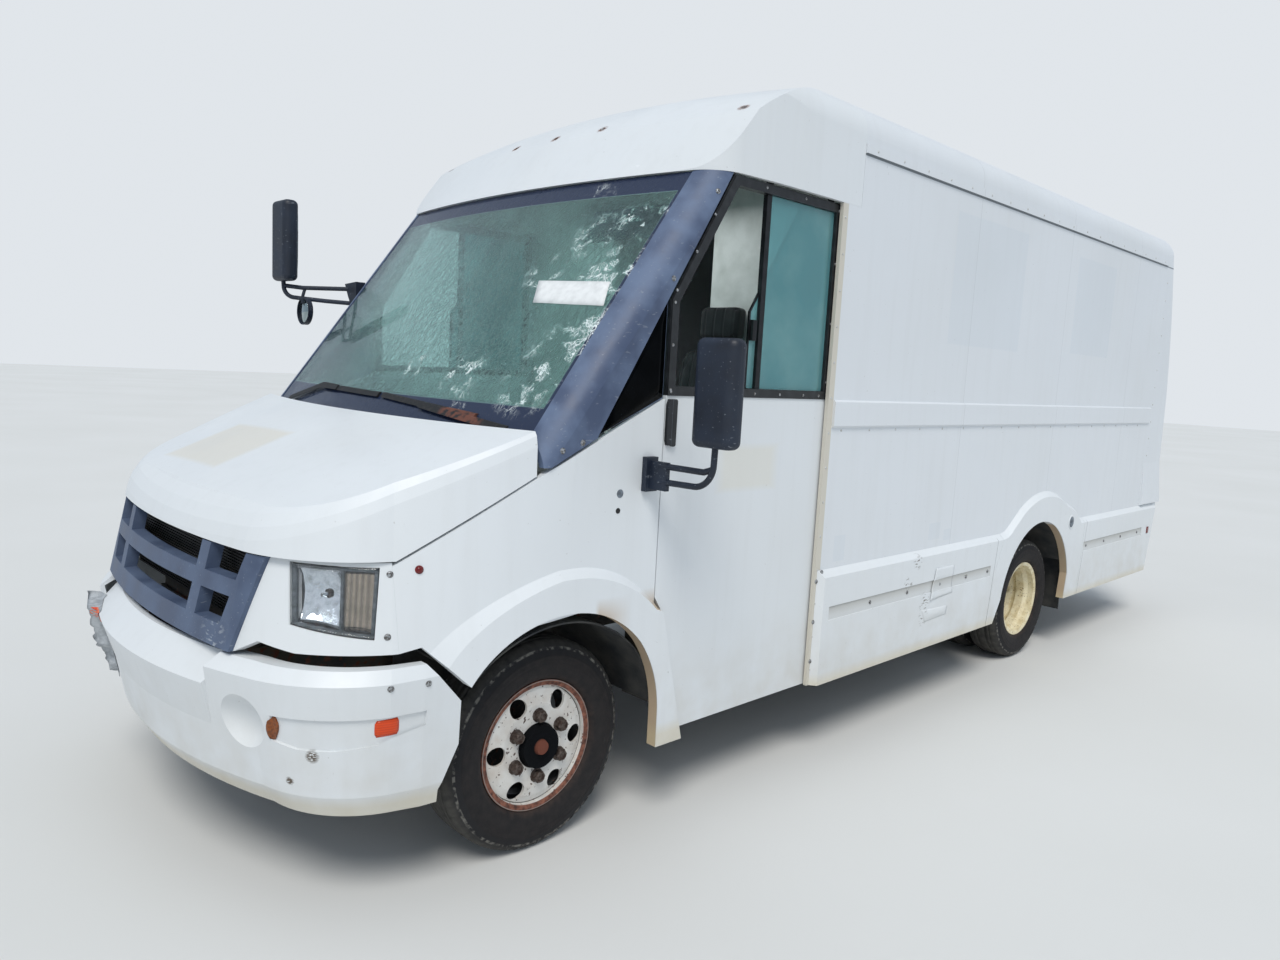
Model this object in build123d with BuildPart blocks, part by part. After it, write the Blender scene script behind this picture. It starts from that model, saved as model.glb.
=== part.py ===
from build123d import *
import math
import os

os.makedirs("parts", exist_ok=True)

# Lengths are in millimetres. A station is a distance behind the front axle, +X is the truck's
# left, the front looks along -Y, and Z is the height above the ground.
front_reach = 1083.0
rear_reach = 6155.0
wheelbase = 3835.0
axle_y = (front_reach - rear_reach) / 2

# Clearances
seat_gap = 0.3
panel_gap = 5.0
shaft_gap = 0.05

# Wheels and tyres
tyre_radius = 381.0
tyre_width = 216.0
rim_radius = 222.0
rim_width = 172.0
flange_radius = 236.0
rim_wall = 8.0
front_wheel_x = 866.0
rear_outer_x = 939.0
rear_inner_x = 689.0
hand_holes = 6
hand_hole_radius = 34.0
hand_hole_circle = 171.0
front_spindle = 32.0
rear_spindle = 35.0
hub_radius = 62.0
kingpin_x = 745.0
kingpin_radius = 17.0
steer_arm = 160.0

# Chassis
rail_x = 425.0
rail_flange = 65.0
rail_height = 180.0
rail_wall = 7.0
rail_top = 740.0
rail_front = -880.0
rail_rear = 5990.0
floor_low = 770.0
floor_top = 830.0
leaf_thick = 13.0
leaf_width = 70.0
spring_x = rail_x - rail_flange / 2

# Load box
box_half = 1113.0
box_wall = 17.0
box_front = 1385.0
box_rear = 5650.0
gutter_low = 2679.0
gutter_top = 2719.0
roof_shoulder = 2905.0
roof_crown = 2925.0
roof_radius = 150.0
roof_wall = 28.0
moulding_low = 1507.0
moulding_top = 1628.0
moulding_proud = 12.0
skirt_low = 350.0
skirt_front = 1423.0
skirt_rear = 5975.0
skirt_x = 1144.0
skirt_wall = 8.0
groove_low = 643.0
groove_top = 707.0
door_leaf = 30.0
door_x = 1087.0
door_rear = 1405.0
door_low = 352.0
door_top = 2450.0
door_front = 410.0
pocket_depth = 940.0

# Cab
cab_top = 2455.0
cap_rear = 1518.0
cap_wall = 20.0
pillar_wall = 22.0
nose_wall = 25.0
hood_wall = 12.0
hood_rise = 0.42
hood_level = 1517.2
hood_station = -204.0
hood_crown = 40.0
hood_shoulder = 82.0
nose_level = 975.0
nose_lean = 0.207
mirror_reach = 1480.0


def at(station):
    """Place along the truck of a station."""
    return axle_y + station


def side_prism(corners, inner, outer):
    """Solid between two x planes whose side view has these (station, height) corners."""
    with BuildPart() as prism:
        with BuildSketch(Plane.YZ.offset(inner)):
            with BuildLine():
                Polyline(*[(at(station), z) for station, z in corners], close=True)
            make_face()
        extrude(amount=outer - inner)
    return prism.part


def front_prism(corners, front, rear):
    """Solid between two stations whose front view has these (x, height) corners."""
    with BuildPart() as prism:
        with BuildSketch(Plane.XZ.offset(-at(rear))):
            with BuildLine():
                Polyline(*corners, close=True)
            make_face()
        extrude(amount=rear - front)
    return prism.part


def plan_prism(corners, low, high):
    """Solid between two heights whose plan has these (x, station) corners."""
    with BuildPart() as prism:
        with BuildSketch(Plane.XY.offset(low)):
            with BuildLine():
                Polyline(*[(x, at(station)) for x, station in corners], close=True)
            make_face()
        extrude(amount=high - low)
    return prism.part


def block(x, station, z):
    """Block between pairs of x, station and height."""
    width = x[1] - x[0]
    length = station[1] - station[0]
    height = z[1] - z[0]
    middle = Pos((x[0] + x[1]) / 2, at((station[0] + station[1]) / 2), (z[0] + z[1]) / 2)
    return middle * Box(width, length, height, mode=Mode.PRIVATE)


def arch_drum(station, height, radius, inner, outer):
    """Round drum across the truck between two x planes."""
    with BuildPart() as drum:
        with BuildSketch(Plane.YZ.offset(inner)):
            with Locations((at(station), height)):
                Circle(radius)
        extrude(amount=outer - inner)
    return drum.part


def keep(name, shape):
    """Label one finished piece and write it out."""
    shape.label = name
    export_step(shape, "parts/" + name + ".step")


# Cab nose. Its plan outline leans inwards as it rises.
# Columns: x, station, bearing of the outward normal from straight ahead, share of the lean,
# overhang of the hood there.
nose_line = [
    (0, -950, 0, 1.0, 15),
    (614, -900, 8, 1.0, 18),
    (845, -775, 38, 1.0, 26),
    (978, -590, 65, 0.9, 6),
    (1048, -320, 80, 0.3, 0),
    (1085, 0, 88, 0.0, 0),
    (1093, 620, 90, 0.0, 0),
]


def half_outline(points):
    """Closed outline of three arcs and a straight side on each half, from points at x >= 0."""
    other = [(-x, y) for x, y in points]
    ThreePointArc(other[1], points[0], points[1])
    ThreePointArc(points[1], points[2], points[3])
    ThreePointArc(points[3], points[4], points[5])
    Polyline(points[5], points[6], other[6], other[5])
    ThreePointArc(other[5], other[4], other[3])
    ThreePointArc(other[3], other[2], other[1])


def nose_point(row, level, inset):
    """Plan place of one row of the nose outline at a height."""
    x, station, bearing, share, overhang = row
    out = nose_lean * (nose_level - level) * share - inset
    return (
        x + out * math.sin(math.radians(bearing)),
        station - out * math.cos(math.radians(bearing)),
    )


def nose_form(inset):
    """Solid inside the cab's lower skin, drawn in by the inset."""
    with BuildPart() as form:
        for level in (250, 1700):
            places = [nose_point(row, level, inset) for row in nose_line]
            with BuildSketch(Plane.XY.offset(level)):
                with BuildLine():
                    half_outline([(x, at(station)) for x, station in places])
                make_face()
        loft(ruled=True)
    return form.part


def hood_section(drop, inset):
    """Nose outline on a plane parallel to the hood, a drop below it."""
    centre = hood_level - drop * math.sqrt(1 + hood_rise**2)
    slope = Plane(origin=(0, at(hood_station), centre), x_dir=(1, 0, 0), z_dir=(0, -hood_rise, 1))
    places = []
    for row in nose_line:
        drawn_in = inset - row[4]
        base = nose_point(row, 0, drawn_in)
        upper = nose_point(row, 1, drawn_in)
        climb = upper[1] - base[1]
        z = (centre + hood_rise * (base[1] - hood_station)) / (1 - hood_rise * climb)
        x, station = nose_point(row, z, drawn_in)
        local = slope.to_local_coords(Vector(x, at(station), z))
        places.append((local.X, local.Y))
    with BuildSketch(slope) as section:
        with BuildLine():
            half_outline(places)
        make_face()
    return section.sketch


def crown_under(inset):
    """Solid under the crowned hood surface, an arch swept up the hood's slope."""
    half = 1150.0
    start = -1300.0
    top = hood_level + hood_rise * (start - hood_station) - inset * math.sqrt(1 + hood_rise**2)
    edge = top - hood_crown * (half / 1024) ** 2
    with BuildPart() as under:
        with BuildSketch(Plane.XZ.offset(-at(start))):
            with BuildLine():
                ThreePointArc((-half, edge), (0, top), (half, edge))
                Polyline((half, edge), (half, -900), (-half, -900), (-half, edge))
            make_face()
        extrude(amount=2250, dir=(0, 1, hood_rise))
    return under.part


def hood_form(skin):
    """Solid under the hood's skin, with its shoulders rounded in steps."""
    radius = hood_shoulder - skin
    turns = [math.radians(angle) for angle in (0, 22, 45, 68)]
    rows = [(520, skin)]
    rows += [(skin + radius * (1 - math.sin(turn)), skin + radius * (1 - math.cos(turn))) for turn in turns]
    rows += [(skin - 10, skin + radius * 0.8)]
    with BuildPart() as form:
        loft(sections=[hood_section(drop, inset) for drop, inset in rows], ruled=True)
    return form.part & crown_under(skin)


# Screen form: the sloping front and sides of the cab above the belt line
# Columns: height, centre station, corner station, side station.
screen_rows = [
    (1370, -300, -200, -110),
    (2460, 518, 608, 718),
]
screen_edge_low = 992.0
screen_edge_high = 974.0


def screen_form(inset):
    """Solid inside the windscreen and pillars, drawn in by the inset."""
    with BuildPart() as form:
        for level, centre, corner, side in screen_rows:
            with BuildSketch(Plane.XY.offset(level)):
                with BuildLine():
                    edge = screen_edge_low - inset
                    ThreePointArc(
                        (-edge, at(corner + inset)), (0, at(centre + inset)), (edge, at(corner + inset))
                    )
                    bend = (1062 - inset * 0.8, at((corner + side) / 2 - 6 + inset * 0.6))
                    ThreePointArc((edge, at(corner + inset)), bend, (1085 - inset, at(side)))
                    Polyline(
                        (1085 - inset, at(side)),
                        (1087 - inset, at(1500)),
                        (inset - 1087, at(1500)),
                        (inset - 1085, at(side)),
                    )
                    ThreePointArc(
                        (inset - 1085, at(side)), (-bend[0], bend[1]), (-edge, at(corner + inset))
                    )
                make_face()
        loft(ruled=True)
    return form.part


def roof_face(inset, low):
    """Rear view of the roof curve down to a height, drawn in by the inset."""
    half = box_half - inset
    shoulder = roof_shoulder - inset
    radius = roof_radius - inset
    bend = radius * (1 - math.sin(math.radians(45)))
    ThreePointArc((-half, shoulder - radius), (-half + bend, shoulder - bend), (-half + radius, shoulder))
    ThreePointArc((-half + radius, shoulder), (0, roof_crown - inset), (half - radius, shoulder))
    ThreePointArc((half - radius, shoulder), (half - bend, shoulder - bend), (half, shoulder - radius))
    Polyline((half, shoulder - radius), (half, low), (-half, low), (-half, shoulder - radius))


def roof_form(inset, low, front, rear):
    """Solid under the roof curve between two stations."""
    with BuildPart() as form:
        with BuildSketch(Plane.XZ.offset(-at(rear))):
            with BuildLine():
                roof_face(inset, low)
            make_face()
        extrude(amount=rear - front)
    return form.part


def cap_form(inset):
    """Solid inside the cab's roof cap, drawn in by the inset."""
    with BuildPart() as brow:
        # Columns: x, how far the brow has swept back there, how far it has dropped
        for x, sweep, drop in ((-box_half, 118, 52), (0, 0, 0), (box_half, 118, 52)):
            with BuildSketch(Plane.YZ.offset(x)):
                with BuildLine():
                    start = (at(498 + sweep + inset), 2400)
                    toe = (at(500 + sweep + inset), cab_top)
                    bend = (at(690 + sweep + inset), 2700 - inset * 0.6)
                    top = (at(1270 + sweep), 2935 - drop - inset)
                    middle = (at(935 + sweep + inset * 0.4), 2858 - drop / 2 - inset)
                    ThreePointArc(bend, middle, top)
                    Polyline(top, (at(1700), 2940 - inset), (at(1700), 2400), start, toe, bend)
                make_face()
        loft()
    plan = [(0, 480), (640, 528), (985, 598), (1060, 650), (1096, 740), (1108, 900), (box_half, 1100)]
    with BuildPart() as outline:
        with BuildSketch(Plane.XY.offset(2400)):
            with BuildLine():
                half = [(x - inset * min(1, x / 900), at(station + inset * 0.5)) for x, station in plan]
                other = [(-x, y) for x, y in half]
                ThreePointArc(other[2], half[0], half[2])
                ThreePointArc(half[2], half[3], half[4])
                ThreePointArc(other[4], other[3], other[2])
                Polyline(half[4], half[5], half[6], (half[6][0], at(1700)), (other[6][0], at(1700)),
                         other[6], other[5], other[4])
            make_face()
        extrude(amount=700)
    return roof_form(inset, 2400, 300, cap_rear) & brow.part & outline.part


# Wheel section, revolved about the axle. Columns: x from the rim's middle, radius.
lip = rim_width / 2
well = rim_radius - 16
rim_outer = [
    (-lip, flange_radius), (8 - lip, flange_radius), (10 - lip, rim_radius + 1), (-40, rim_radius), (-25, well),
    (25, well), (45, rim_radius), (lip - 10, rim_radius + 1), (lip - 8, flange_radius), (lip, flange_radius),
]
rim_inner = [
    (lip, flange_radius - 6), (lip - 6, rim_radius - rim_wall), (46, rim_radius - rim_wall - 1),
    (25, well - rim_wall), (-25, well - rim_wall), (-42, rim_radius - rim_wall - 1),
    (6 - lip, rim_radius - rim_wall), (-lip, flange_radius - 6),
]
bead = lip - 10 - seat_gap
tyre_half = [
    (bead, rim_radius + 1 + seat_gap), (bead + 2, flange_radius + 1), (lip + 8, flange_radius + 6),
    (tyre_width / 2, 302), (tyre_width / 2 - 8, 352), (tyre_width / 2 - 28, 375),
]


def wheel_plane(station):
    """Plane through an axle's line, x along the axle and y upwards."""
    return Plane(origin=(0, at(station), tyre_radius), x_dir=(1, 0, 0), z_dir=(0, -1, 0))


def axle_line(station):
    """The line about which a wheel turns."""
    return Axis((0, at(station), tyre_radius), (1, 0, 0))


def turned(points, station):
    """Solid of revolution about an axle, from (x, radius) corners."""
    with BuildPart() as body:
        with BuildSketch(wheel_plane(station)):
            with BuildLine():
                Polyline(*points, close=True)
            make_face()
        revolve(axis=axle_line(station))
    return body.part


def tyre(middle, station):
    """One tyre on its rim."""
    left = [(middle - x, radius) for x, radius in tyre_half]
    right = [(middle + x, radius) for x, radius in reversed(tyre_half)]
    tread = tyre_width / 2 - 44
    return turned(left + [(middle - tread, tyre_radius), (middle + tread, tyre_radius)] + right, station)


def rim(middle, station):
    """Barrel of one rim."""
    return turned([(middle + x, radius) for x, radius in rim_outer + rim_inner], station)


def hand_hole_cut(station, inner, outer):
    """Round hand holes through a wheel disc."""
    with BuildPart() as holes:
        with BuildSketch(Plane.YZ.offset(inner)):
            with Locations((at(station), tyre_radius)):
                with PolarLocations(hand_hole_circle, hand_holes):
                    Circle(hand_hole_radius)
        extrude(amount=outer - inner)
    return holes.part


def front_wheel():
    """Left front wheel: rim, bulged disc with hand holes, and hub with a blind bore."""
    x = front_wheel_x
    seam = rim_radius - rim_wall / 2
    disc = [(x + 54, seam), (x + 66, seam - 8), (x + 78, 184), (x + 84, 150), (x + 82, 126), (x + 82, 40),
            (x + 72, 40), (x + 72, 130), (x + 74, 150), (x + 68, 180), (x + 58, seam - 16), (x + 46, seam)]
    hub = [(x - 38, 0), (x - 38, hub_radius), (x + 76, hub_radius), (x + 78, 80), (x + 108, 76),
           (x + 100, 50), (x + 102, 28), (x + 116, 24), (x + 118, 0)]
    bore = [(x - 60, 0), (x - 60, front_spindle + shaft_gap), (x + 66, front_spindle + shaft_gap), (x + 66, 0)]
    wheel = rim(x, 0) + (turned(disc, 0) - hand_hole_cut(0, x, x + 100)) + turned(hub, 0)
    return wheel - turned(bore, 0)


def rear_wheels():
    """Left rear twin wheels: two dished discs bolted back to back on a drum and hub."""
    meet = (rear_outer_x + rear_inner_x) / 2
    dish = rear_outer_x - meet
    seam = rim_radius - rim_wall / 2
    disc = [(dish - 46, seam), (dish - 58, seam - 10), (dish - 82, 196), (8, 140), (8, 60), (0, 60), (0, 146),
            (dish - 91, 206), (dish - 72, seam)]
    outer = turned([(meet + x, radius) for x, radius in disc], wheelbase)
    inner = turned([(meet - x, radius) for x, radius in disc], wheelbase)
    discs = (outer + inner) - hand_hole_cut(wheelbase, meet - 60, meet + 60)
    hub = [(640, 0), (640, 160), (meet - 12, 160), (meet - 12, 96), (meet + 8, 96), (meet + 8, 80),
           (meet + 60, 76), (meet + 66, 62), (meet + 96, 58), (meet + 100, 0)]
    bore = [(630, 0), (630, rear_spindle + shaft_gap), (meet + 80, rear_spindle + shaft_gap), (meet + 80, 0)]
    wheels = rim(rear_outer_x, wheelbase) + rim(rear_inner_x, wheelbase) + discs + turned(hub, wheelbase)
    return wheels - turned(bore, wheelbase)


def other_side(shape):
    """Mirror a piece to the truck's right."""
    return Compound(children=[solid.mirror(Plane.YZ) for solid in shape.solids()])


def both_sides(*shapes):
    """The given pieces of the left side and their mirror images."""
    solids = [solid for shape in shapes for solid in shape.solids()]
    return Compound(children=solids + [solid.mirror(Plane.YZ) for solid in solids])


left_rim = front_wheel()
left_tyre = tyre(front_wheel_x, 0)
keep("rim_front_left", left_rim)
keep("rim_front_right", other_side(left_rim))
keep("tyre_front_left", left_tyre)
keep("tyre_front_right", other_side(left_tyre))
left_rims = rear_wheels()
left_tyres = Compound(children=[tyre(x, wheelbase) for x in (rear_outer_x, rear_inner_x)])
keep("rims_rear_left", left_rims)
keep("rims_rear_right", other_side(left_rims))
keep("tyres_rear_left", left_tyres)
keep("tyres_rear_right", other_side(left_tyres))

# Front axle beam, dropped between its spring seats, with an eye at each kingpin.
# Columns: x, height of the top edge, height of the bottom edge.
beam_line = [(0, 375, 285), (290, 375, 285), (345, 400, 310), (560, 400, 310), (715, 422, 340)]
beam_depth = 90.0
eye_radius = 40.0
eye_low = 336.0
eye_top = 426.0
spring_seat = beam_line[3][1]
with BuildPart() as front_axle:
    upper = [(x, top) for x, top, low in beam_line]
    lower = [(x, low) for x, top, low in reversed(beam_line)]
    ring = upper + lower + [(-x, z) for x, z in reversed(lower)] + [(-x, z) for x, z in reversed(upper)]
    outline = [place for place in ring if place[0] != 0]
    with BuildSketch(Plane.XZ.offset(-at(0))) as beam_face:
        with BuildLine():
            Polyline(*outline, close=True)
        make_face()
    extrude(amount=beam_depth / 2, both=True)
    for side in (-1, 1):
        with BuildSketch(Plane.XZ.offset(-at(side * beam_depth / 2))):
            add(beam_face.sketch.faces()[0].moved(Location((0, -at(side * beam_depth / 2) + at(0), 0))))
            offset(amount=-15, mode=Mode.REPLACE)
        extrude(amount=side * beam_depth * 0.36, mode=Mode.SUBTRACT)
    with Locations(*[(side * kingpin_x, at(0), (eye_low + eye_top) / 2) for side in (-1, 1)]):
        Cylinder(eye_radius, eye_top - eye_low)
        Cylinder(kingpin_radius + shaft_gap, eye_top - eye_low + 2, mode=Mode.SUBTRACT)
keep("front_axle", front_axle.part)

# Steering knuckle: fork round the eye, kingpin, spindle, backing plate and steering arm
fork_gap = panel_gap
fork_arm = 32.0
fork_x = kingpin_x + eye_radius + panel_gap
arm_x = kingpin_x
arm_thick = 20.0
rod_pin = 10.0
with BuildPart() as knuckle_left:
    for low in (eye_low - fork_gap - fork_arm, eye_top + fork_gap):
        with BuildSketch(Plane.XY.offset(low)):
            with Locations((kingpin_x, at(0))):
                Circle(eye_radius - 2)
            with Locations((kingpin_x + 32, at(0))):
                Rectangle(64, 64)
        extrude(amount=fork_arm)
    with BuildSketch(Plane.YZ.offset(fork_x)):
        with Locations((at(0), tyre_radius)):
            Rectangle(84, eye_top - eye_low + 2 * (fork_gap + fork_arm))
    extrude(amount=22)
    with BuildSketch(Plane.YZ.offset(fork_x + 16)):
        with Locations((at(0), tyre_radius)):
            Circle(150)
    extrude(amount=6)
    with BuildSketch(Plane.YZ.offset(fork_x + 20)):
        with Locations((at(0), tyre_radius)):
            Circle(front_spindle)
    extrude(amount=front_wheel_x + 62 - fork_x - 20)
    with BuildSketch(Plane.XY.offset(eye_low - fork_gap - 3)):
        with Locations((kingpin_x, at(0))):
            Circle(kingpin_radius)
    extrude(amount=eye_top - eye_low + 2 * fork_gap + 6)
    with BuildSketch(Plane.XY.offset(eye_low - fork_gap - fork_arm)):
        with Locations((arm_x, at(steer_arm / 2))):
            Rectangle(34, steer_arm)
        with Locations((arm_x, at(steer_arm))):
            Circle(20)
            Circle(rod_pin + shaft_gap, mode=Mode.SUBTRACT)
    extrude(amount=arm_thick)
keep("knuckle_left", knuckle_left.part)
keep("knuckle_right", other_side(knuckle_left.part))

# Track rod under the steering arms, a pin through each
arm_low = eye_low - fork_gap - fork_arm
rod_top = arm_low - panel_gap
with BuildPart() as track_rod:
    with BuildSketch(Plane.YZ.offset(-arm_x)):
        with Locations((at(steer_arm), rod_top - 16)):
            Circle(14)
    extrude(amount=2 * arm_x)
    with Locations(*[(side * arm_x, at(steer_arm), rod_top - 16) for side in (-1, 1)]):
        Cylinder(20, 32)
    with Locations(*[(side * arm_x, at(steer_arm), rod_top - 1) for side in (-1, 1)]):
        Cylinder(rod_pin, panel_gap + arm_thick + 7, align=(Align.CENTER, Align.CENTER, Align.MIN))
keep("track_rod", track_rod.part)

# Rear axle: tubes, round differential housing, pinion nose and stub spindles
tube_radius = 60.0
seat_rise = 9.0
pinion_z = 400.0
with BuildPart() as rear_axle:
    with BuildSketch(Plane.YZ.offset(-632)):
        with Locations((at(wheelbase), tyre_radius)):
            Circle(tube_radius)
    extrude(amount=2 * 632)
    reach = (rear_outer_x + rear_inner_x) / 2 + 70
    with BuildSketch(Plane.YZ.offset(-reach)):
        with Locations((at(wheelbase), tyre_radius)):
            Circle(rear_spindle)
    extrude(amount=2 * reach)
    with BuildSketch(Plane.XZ.offset(-at(wheelbase + 110))):
        with Locations((0, tyre_radius)):
            Circle(120)
    extrude(amount=30, taper=-45)
    with BuildSketch(Plane.XZ.offset(-at(wheelbase + 80))):
        with Locations((0, tyre_radius)):
            Circle(150)
    extrude(amount=140)
    with BuildSketch(Plane.XZ.offset(-at(wheelbase - 60))):
        with Locations((0, pinion_z)):
            Circle(100)
    extrude(amount=200, taper=12)
    for side in (-1, 1):
        with Locations((side * spring_x, at(wheelbase), tyre_radius + tube_radius / 2 + seat_rise / 2)):
            Box(leaf_width + 10, 110, tube_radius + seat_rise)
rear_seat = tyre_radius + tube_radius + seat_rise


def leaf_spring(x, station, seat, half, rise):
    """Spring of three leaves with eyes, hung below the rail from two hangers."""
    radius = (half**2 + rise**2) / (2 * rise)
    centre = seat + radius
    # Columns: leaf from the bottom, half length
    with BuildPart() as spring:
        for leaf, reach in ((0, half * 0.45), (1, half * 0.72), (2, half)):
            low = radius - leaf * leaf_thick
            high = low - leaf_thick
            with BuildSketch(Plane.YZ.offset(x - leaf_width / 2)):
                with BuildLine():
                    ends = [math.asin(reach / low), math.asin(reach / high)]
                    left = (at(station) - low * math.sin(ends[0]), centre - low * math.cos(ends[0]))
                    right = (at(station) + low * math.sin(ends[0]), left[1])
                    back = (at(station) + high * math.sin(ends[1]), centre - high * math.cos(ends[1]))
                    front = (at(station) - high * math.sin(ends[1]), back[1])
                    ThreePointArc(left, (at(station), centre - low), right)
                    Line(right, back)
                    ThreePointArc(back, (at(station), centre - high), front)
                    Line(front, left)
                make_face()
            extrude(amount=leaf_width)
        eye_z = centre - math.sqrt((radius - 2.5 * leaf_thick) ** 2 - half**2)
        hanger_top = rail_top - rail_height - seat_gap
        for end in (-half, half):
            with BuildSketch(Plane.YZ.offset(x - leaf_width / 2)):
                with Locations((at(station + end), eye_z)):
                    Circle(22)
                with Locations((at(station + end), (eye_z + hanger_top) / 2)):
                    Rectangle(30, hanger_top - eye_z)
                with Locations((at(station + end), hanger_top - 6)):
                    Rectangle(90, 12)
            extrude(amount=leaf_width)
    return spring.part


springs = []
for side in (-1, 1):
    springs.append(leaf_spring(side * spring_x, 0, spring_seat + seat_gap, 600, 90))
    springs.append(leaf_spring(side * spring_x, wheelbase, rear_seat + seat_gap, 650, 50))
keep("leaf_springs", Compound(children=springs))

# Ladder frame: two channel rails and the cross members between them
cross_height = 80.0
rail_inner = rail_x - rail_flange
with BuildPart() as frame_rails:
    for side in (-1, 1):
        web = rail_x - rail_wall
        low = rail_top - rail_height
        profile = [(rail_x, low), (rail_x, rail_top), (rail_inner, rail_top), (rail_inner, rail_top - rail_wall),
                   (web, rail_top - rail_wall), (web, low + rail_wall), (rail_inner, low + rail_wall),
                   (rail_inner, low)]
        with BuildSketch(Plane.XZ.offset(-at(rail_rear))):
            with BuildLine():
                Polyline(*[(side * x, z) for x, z in profile], close=True)
            make_face()
        extrude(amount=rail_rear - rail_front)
    for station in (-800, 1300, 2400, 3330, 4450, 5420, rail_rear - 40):
        with Locations((0, at(station), rail_top - rail_wall - cross_height / 2)):
            Box(2 * (rail_x - rail_wall) + 2, 80, cross_height)
keep("frame_rails", frame_rails.part)

# Engine and gearbox, one plain block hung from the rails on four arms
gearbox_rear = 1150.0
gearbox_z = 560.0
with BuildPart() as engine:
    add(block((-265, 265), (-470, 520), (470, 1130)))
    add(block((-150, 150), (520, gearbox_rear), (470, 725)))
    for station in (-60, 900):
        add(block((-rail_x + 6, rail_x - 6), (station, station + 80), (rail_top + seat_gap, rail_top + 24)))
    add(block((-90, 90), (900, 980), (700, rail_top + 24)))
    fillet(engine.part.edges().filter_by(Axis.Y).group_by(Axis.Z)[-1], 30)
keep("engine", engine.part)

# Propeller shaft with a joint ball at each end, bolted to the rear axle's pinion
ball = 44.0
pinion_front = wheelbase - 260
shaft_start = (0, at(gearbox_rear + ball + seat_gap), gearbox_z)
shaft_end = (0, at(pinion_front - ball + 6), pinion_z)
with BuildPart() as propeller_shaft:
    with BuildLine():
        Line(shaft_start, shaft_end)
    with BuildSketch(Plane(origin=shaft_start, z_dir=Vector(*shaft_end) - Vector(*shaft_start))):
        Circle(38)
    sweep()
    with Locations(shaft_start, shaft_end):
        Sphere(ball)
keep("rear_axle", rear_axle.part + propeller_shaft.part)

# Radiator: core between two tanks, standing on the front cross member
radiator_low = rail_top - rail_wall + seat_gap
with BuildPart() as radiator:
    add(block((-330, 330), (-830, -770), (radiator_low, 1090)))
    for z in (radiator_low + 40, 1060):
        add(block((-340, 340), (-842, -758), (z - 30, z + 30)))
keep("radiator", radiator.part)

# Fuel tank between the rails behind the rear axle
with BuildPart() as fuel_tank:
    add(block((-rail_inner + seat_gap, rail_inner - seat_gap), (4560, 5340), (440, rail_top - 100)))
    fillet(fuel_tank.part.edges().filter_by(Axis.Y), 60)
    for station in (4750, 5120):
        strap = rail_inner + 40
        add(block((-strap, strap), (station, station + 50), (530, rail_top - rail_height - seat_gap)))
keep("fuel_tank", fuel_tank.part)

# Exhaust: pipe from the engine, silencer beside the right rail, turned-down tail
pipe_z = 520.0
muffler_x = -570.0
with BuildPart() as exhaust:
    with BuildLine():
        FilletPolyline(
            (-205, at(520 + seat_gap), pipe_z), (-205, at(760), pipe_z), (muffler_x, at(1050), pipe_z),
            (muffler_x, at(2500), pipe_z), (muffler_x - 140, at(2800), pipe_z - 90), radius=90,
        )
    with BuildSketch(Plane(origin=(-205, at(520 + seat_gap), pipe_z), z_dir=(0, 1, 0))):
        Circle(30)
    sweep()
    with BuildSketch(Plane.XZ.offset(-at(2150))):
        with Locations((muffler_x, pipe_z)):
            Circle(105)
    extrude(amount=600)
    for station in (1620, 2060):
        add(block((muffler_x, -rail_x - seat_gap), (station, station + 30), (pipe_z + 40, pipe_z + 90)))
keep("exhaust", exhaust.part)

# Hood hinge, low behind the hood's rear edge
hinge_station = -110.0
hinge_height = 1438.0
hinge_pin = 6.0
hinge_boss = 14.0
hinge_x = (905, 945)

# Cab floor with firewall, kick plates and cowl shelf, one welded piece
bulkhead_front = 1440.0
firewall_front = -90.0
firewall_rear = -60.0
cowl_top = 1452.0
floor_half = door_x - door_leaf - 12
cover_half = 300.0
cover_top = 1165.0
cover_rear = 545.0
sheet = 12.0
well_inner = 720.0
well_front = 620.0
well_rear = 1385.0
well_low = 375.0
liner_radius = 465.0
kick_top = 884.0
shell_space = nose_form(nose_wall + seat_gap)
below_screen = block((-1100, 1100), (-400, 1500), (300, screen_rows[0][0] + 2))
screen_space = screen_form(pillar_wall + seat_gap) + below_screen
cab_floor = block((-floor_half, floor_half), (480, bulkhead_front), (floor_low, floor_top))
cab_floor += block((-500, 500), (firewall_rear, 480), (floor_low, floor_top))
kick_plates = block((-floor_half, floor_half), (firewall_front, 492), (kick_top - sheet, kick_top))
kick_plates += block((-floor_half, floor_half), (480, 492), (floor_low, kick_top))
kick_plates -= block((-500, 500), (firewall_front - 10, 500), (floor_low - 10, kick_top + 10))
for side in (-1, 1):
    riser = sorted((side * 488, side * 500))
    kick_plates += block(riser, (firewall_front, 492), (floor_low, kick_top))
cab_floor += kick_plates
firewall = block((-1100, 1100), (firewall_front, firewall_rear), (kick_top - sheet, cowl_top))
firewall += block((-500, 500), (firewall_front, firewall_rear), (floor_low, cowl_top))
shelf = block((-988, 988), (-330, firewall_rear), (cowl_top - 12, cowl_top)) & screen_form(2)
shelf &= hood_form(hood_wall + 1)
cab_floor += (firewall & screen_space & shell_space) + (shelf & shell_space)
for side in (-1, 1):
    well = sorted((side * well_inner, side * (floor_half + 1)))
    cab_floor -= block(well, (well_front, well_rear), (floor_low - 1, floor_top + 1))
cab_floor -= block((-cover_half, cover_half), (-400, cover_rear), (floor_low - 1, cover_top))
for station in (640, 1180):
    rest = block((-rail_x, rail_x), (station, station + 60), (rail_top + seat_gap, floor_low))
    cab_floor += rest - block((-160, 160), (station - 1, station + 61), (rail_top - 10, floor_low))
slot = (hinge_x[0] - 6, hinge_x[1] + 6)
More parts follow.
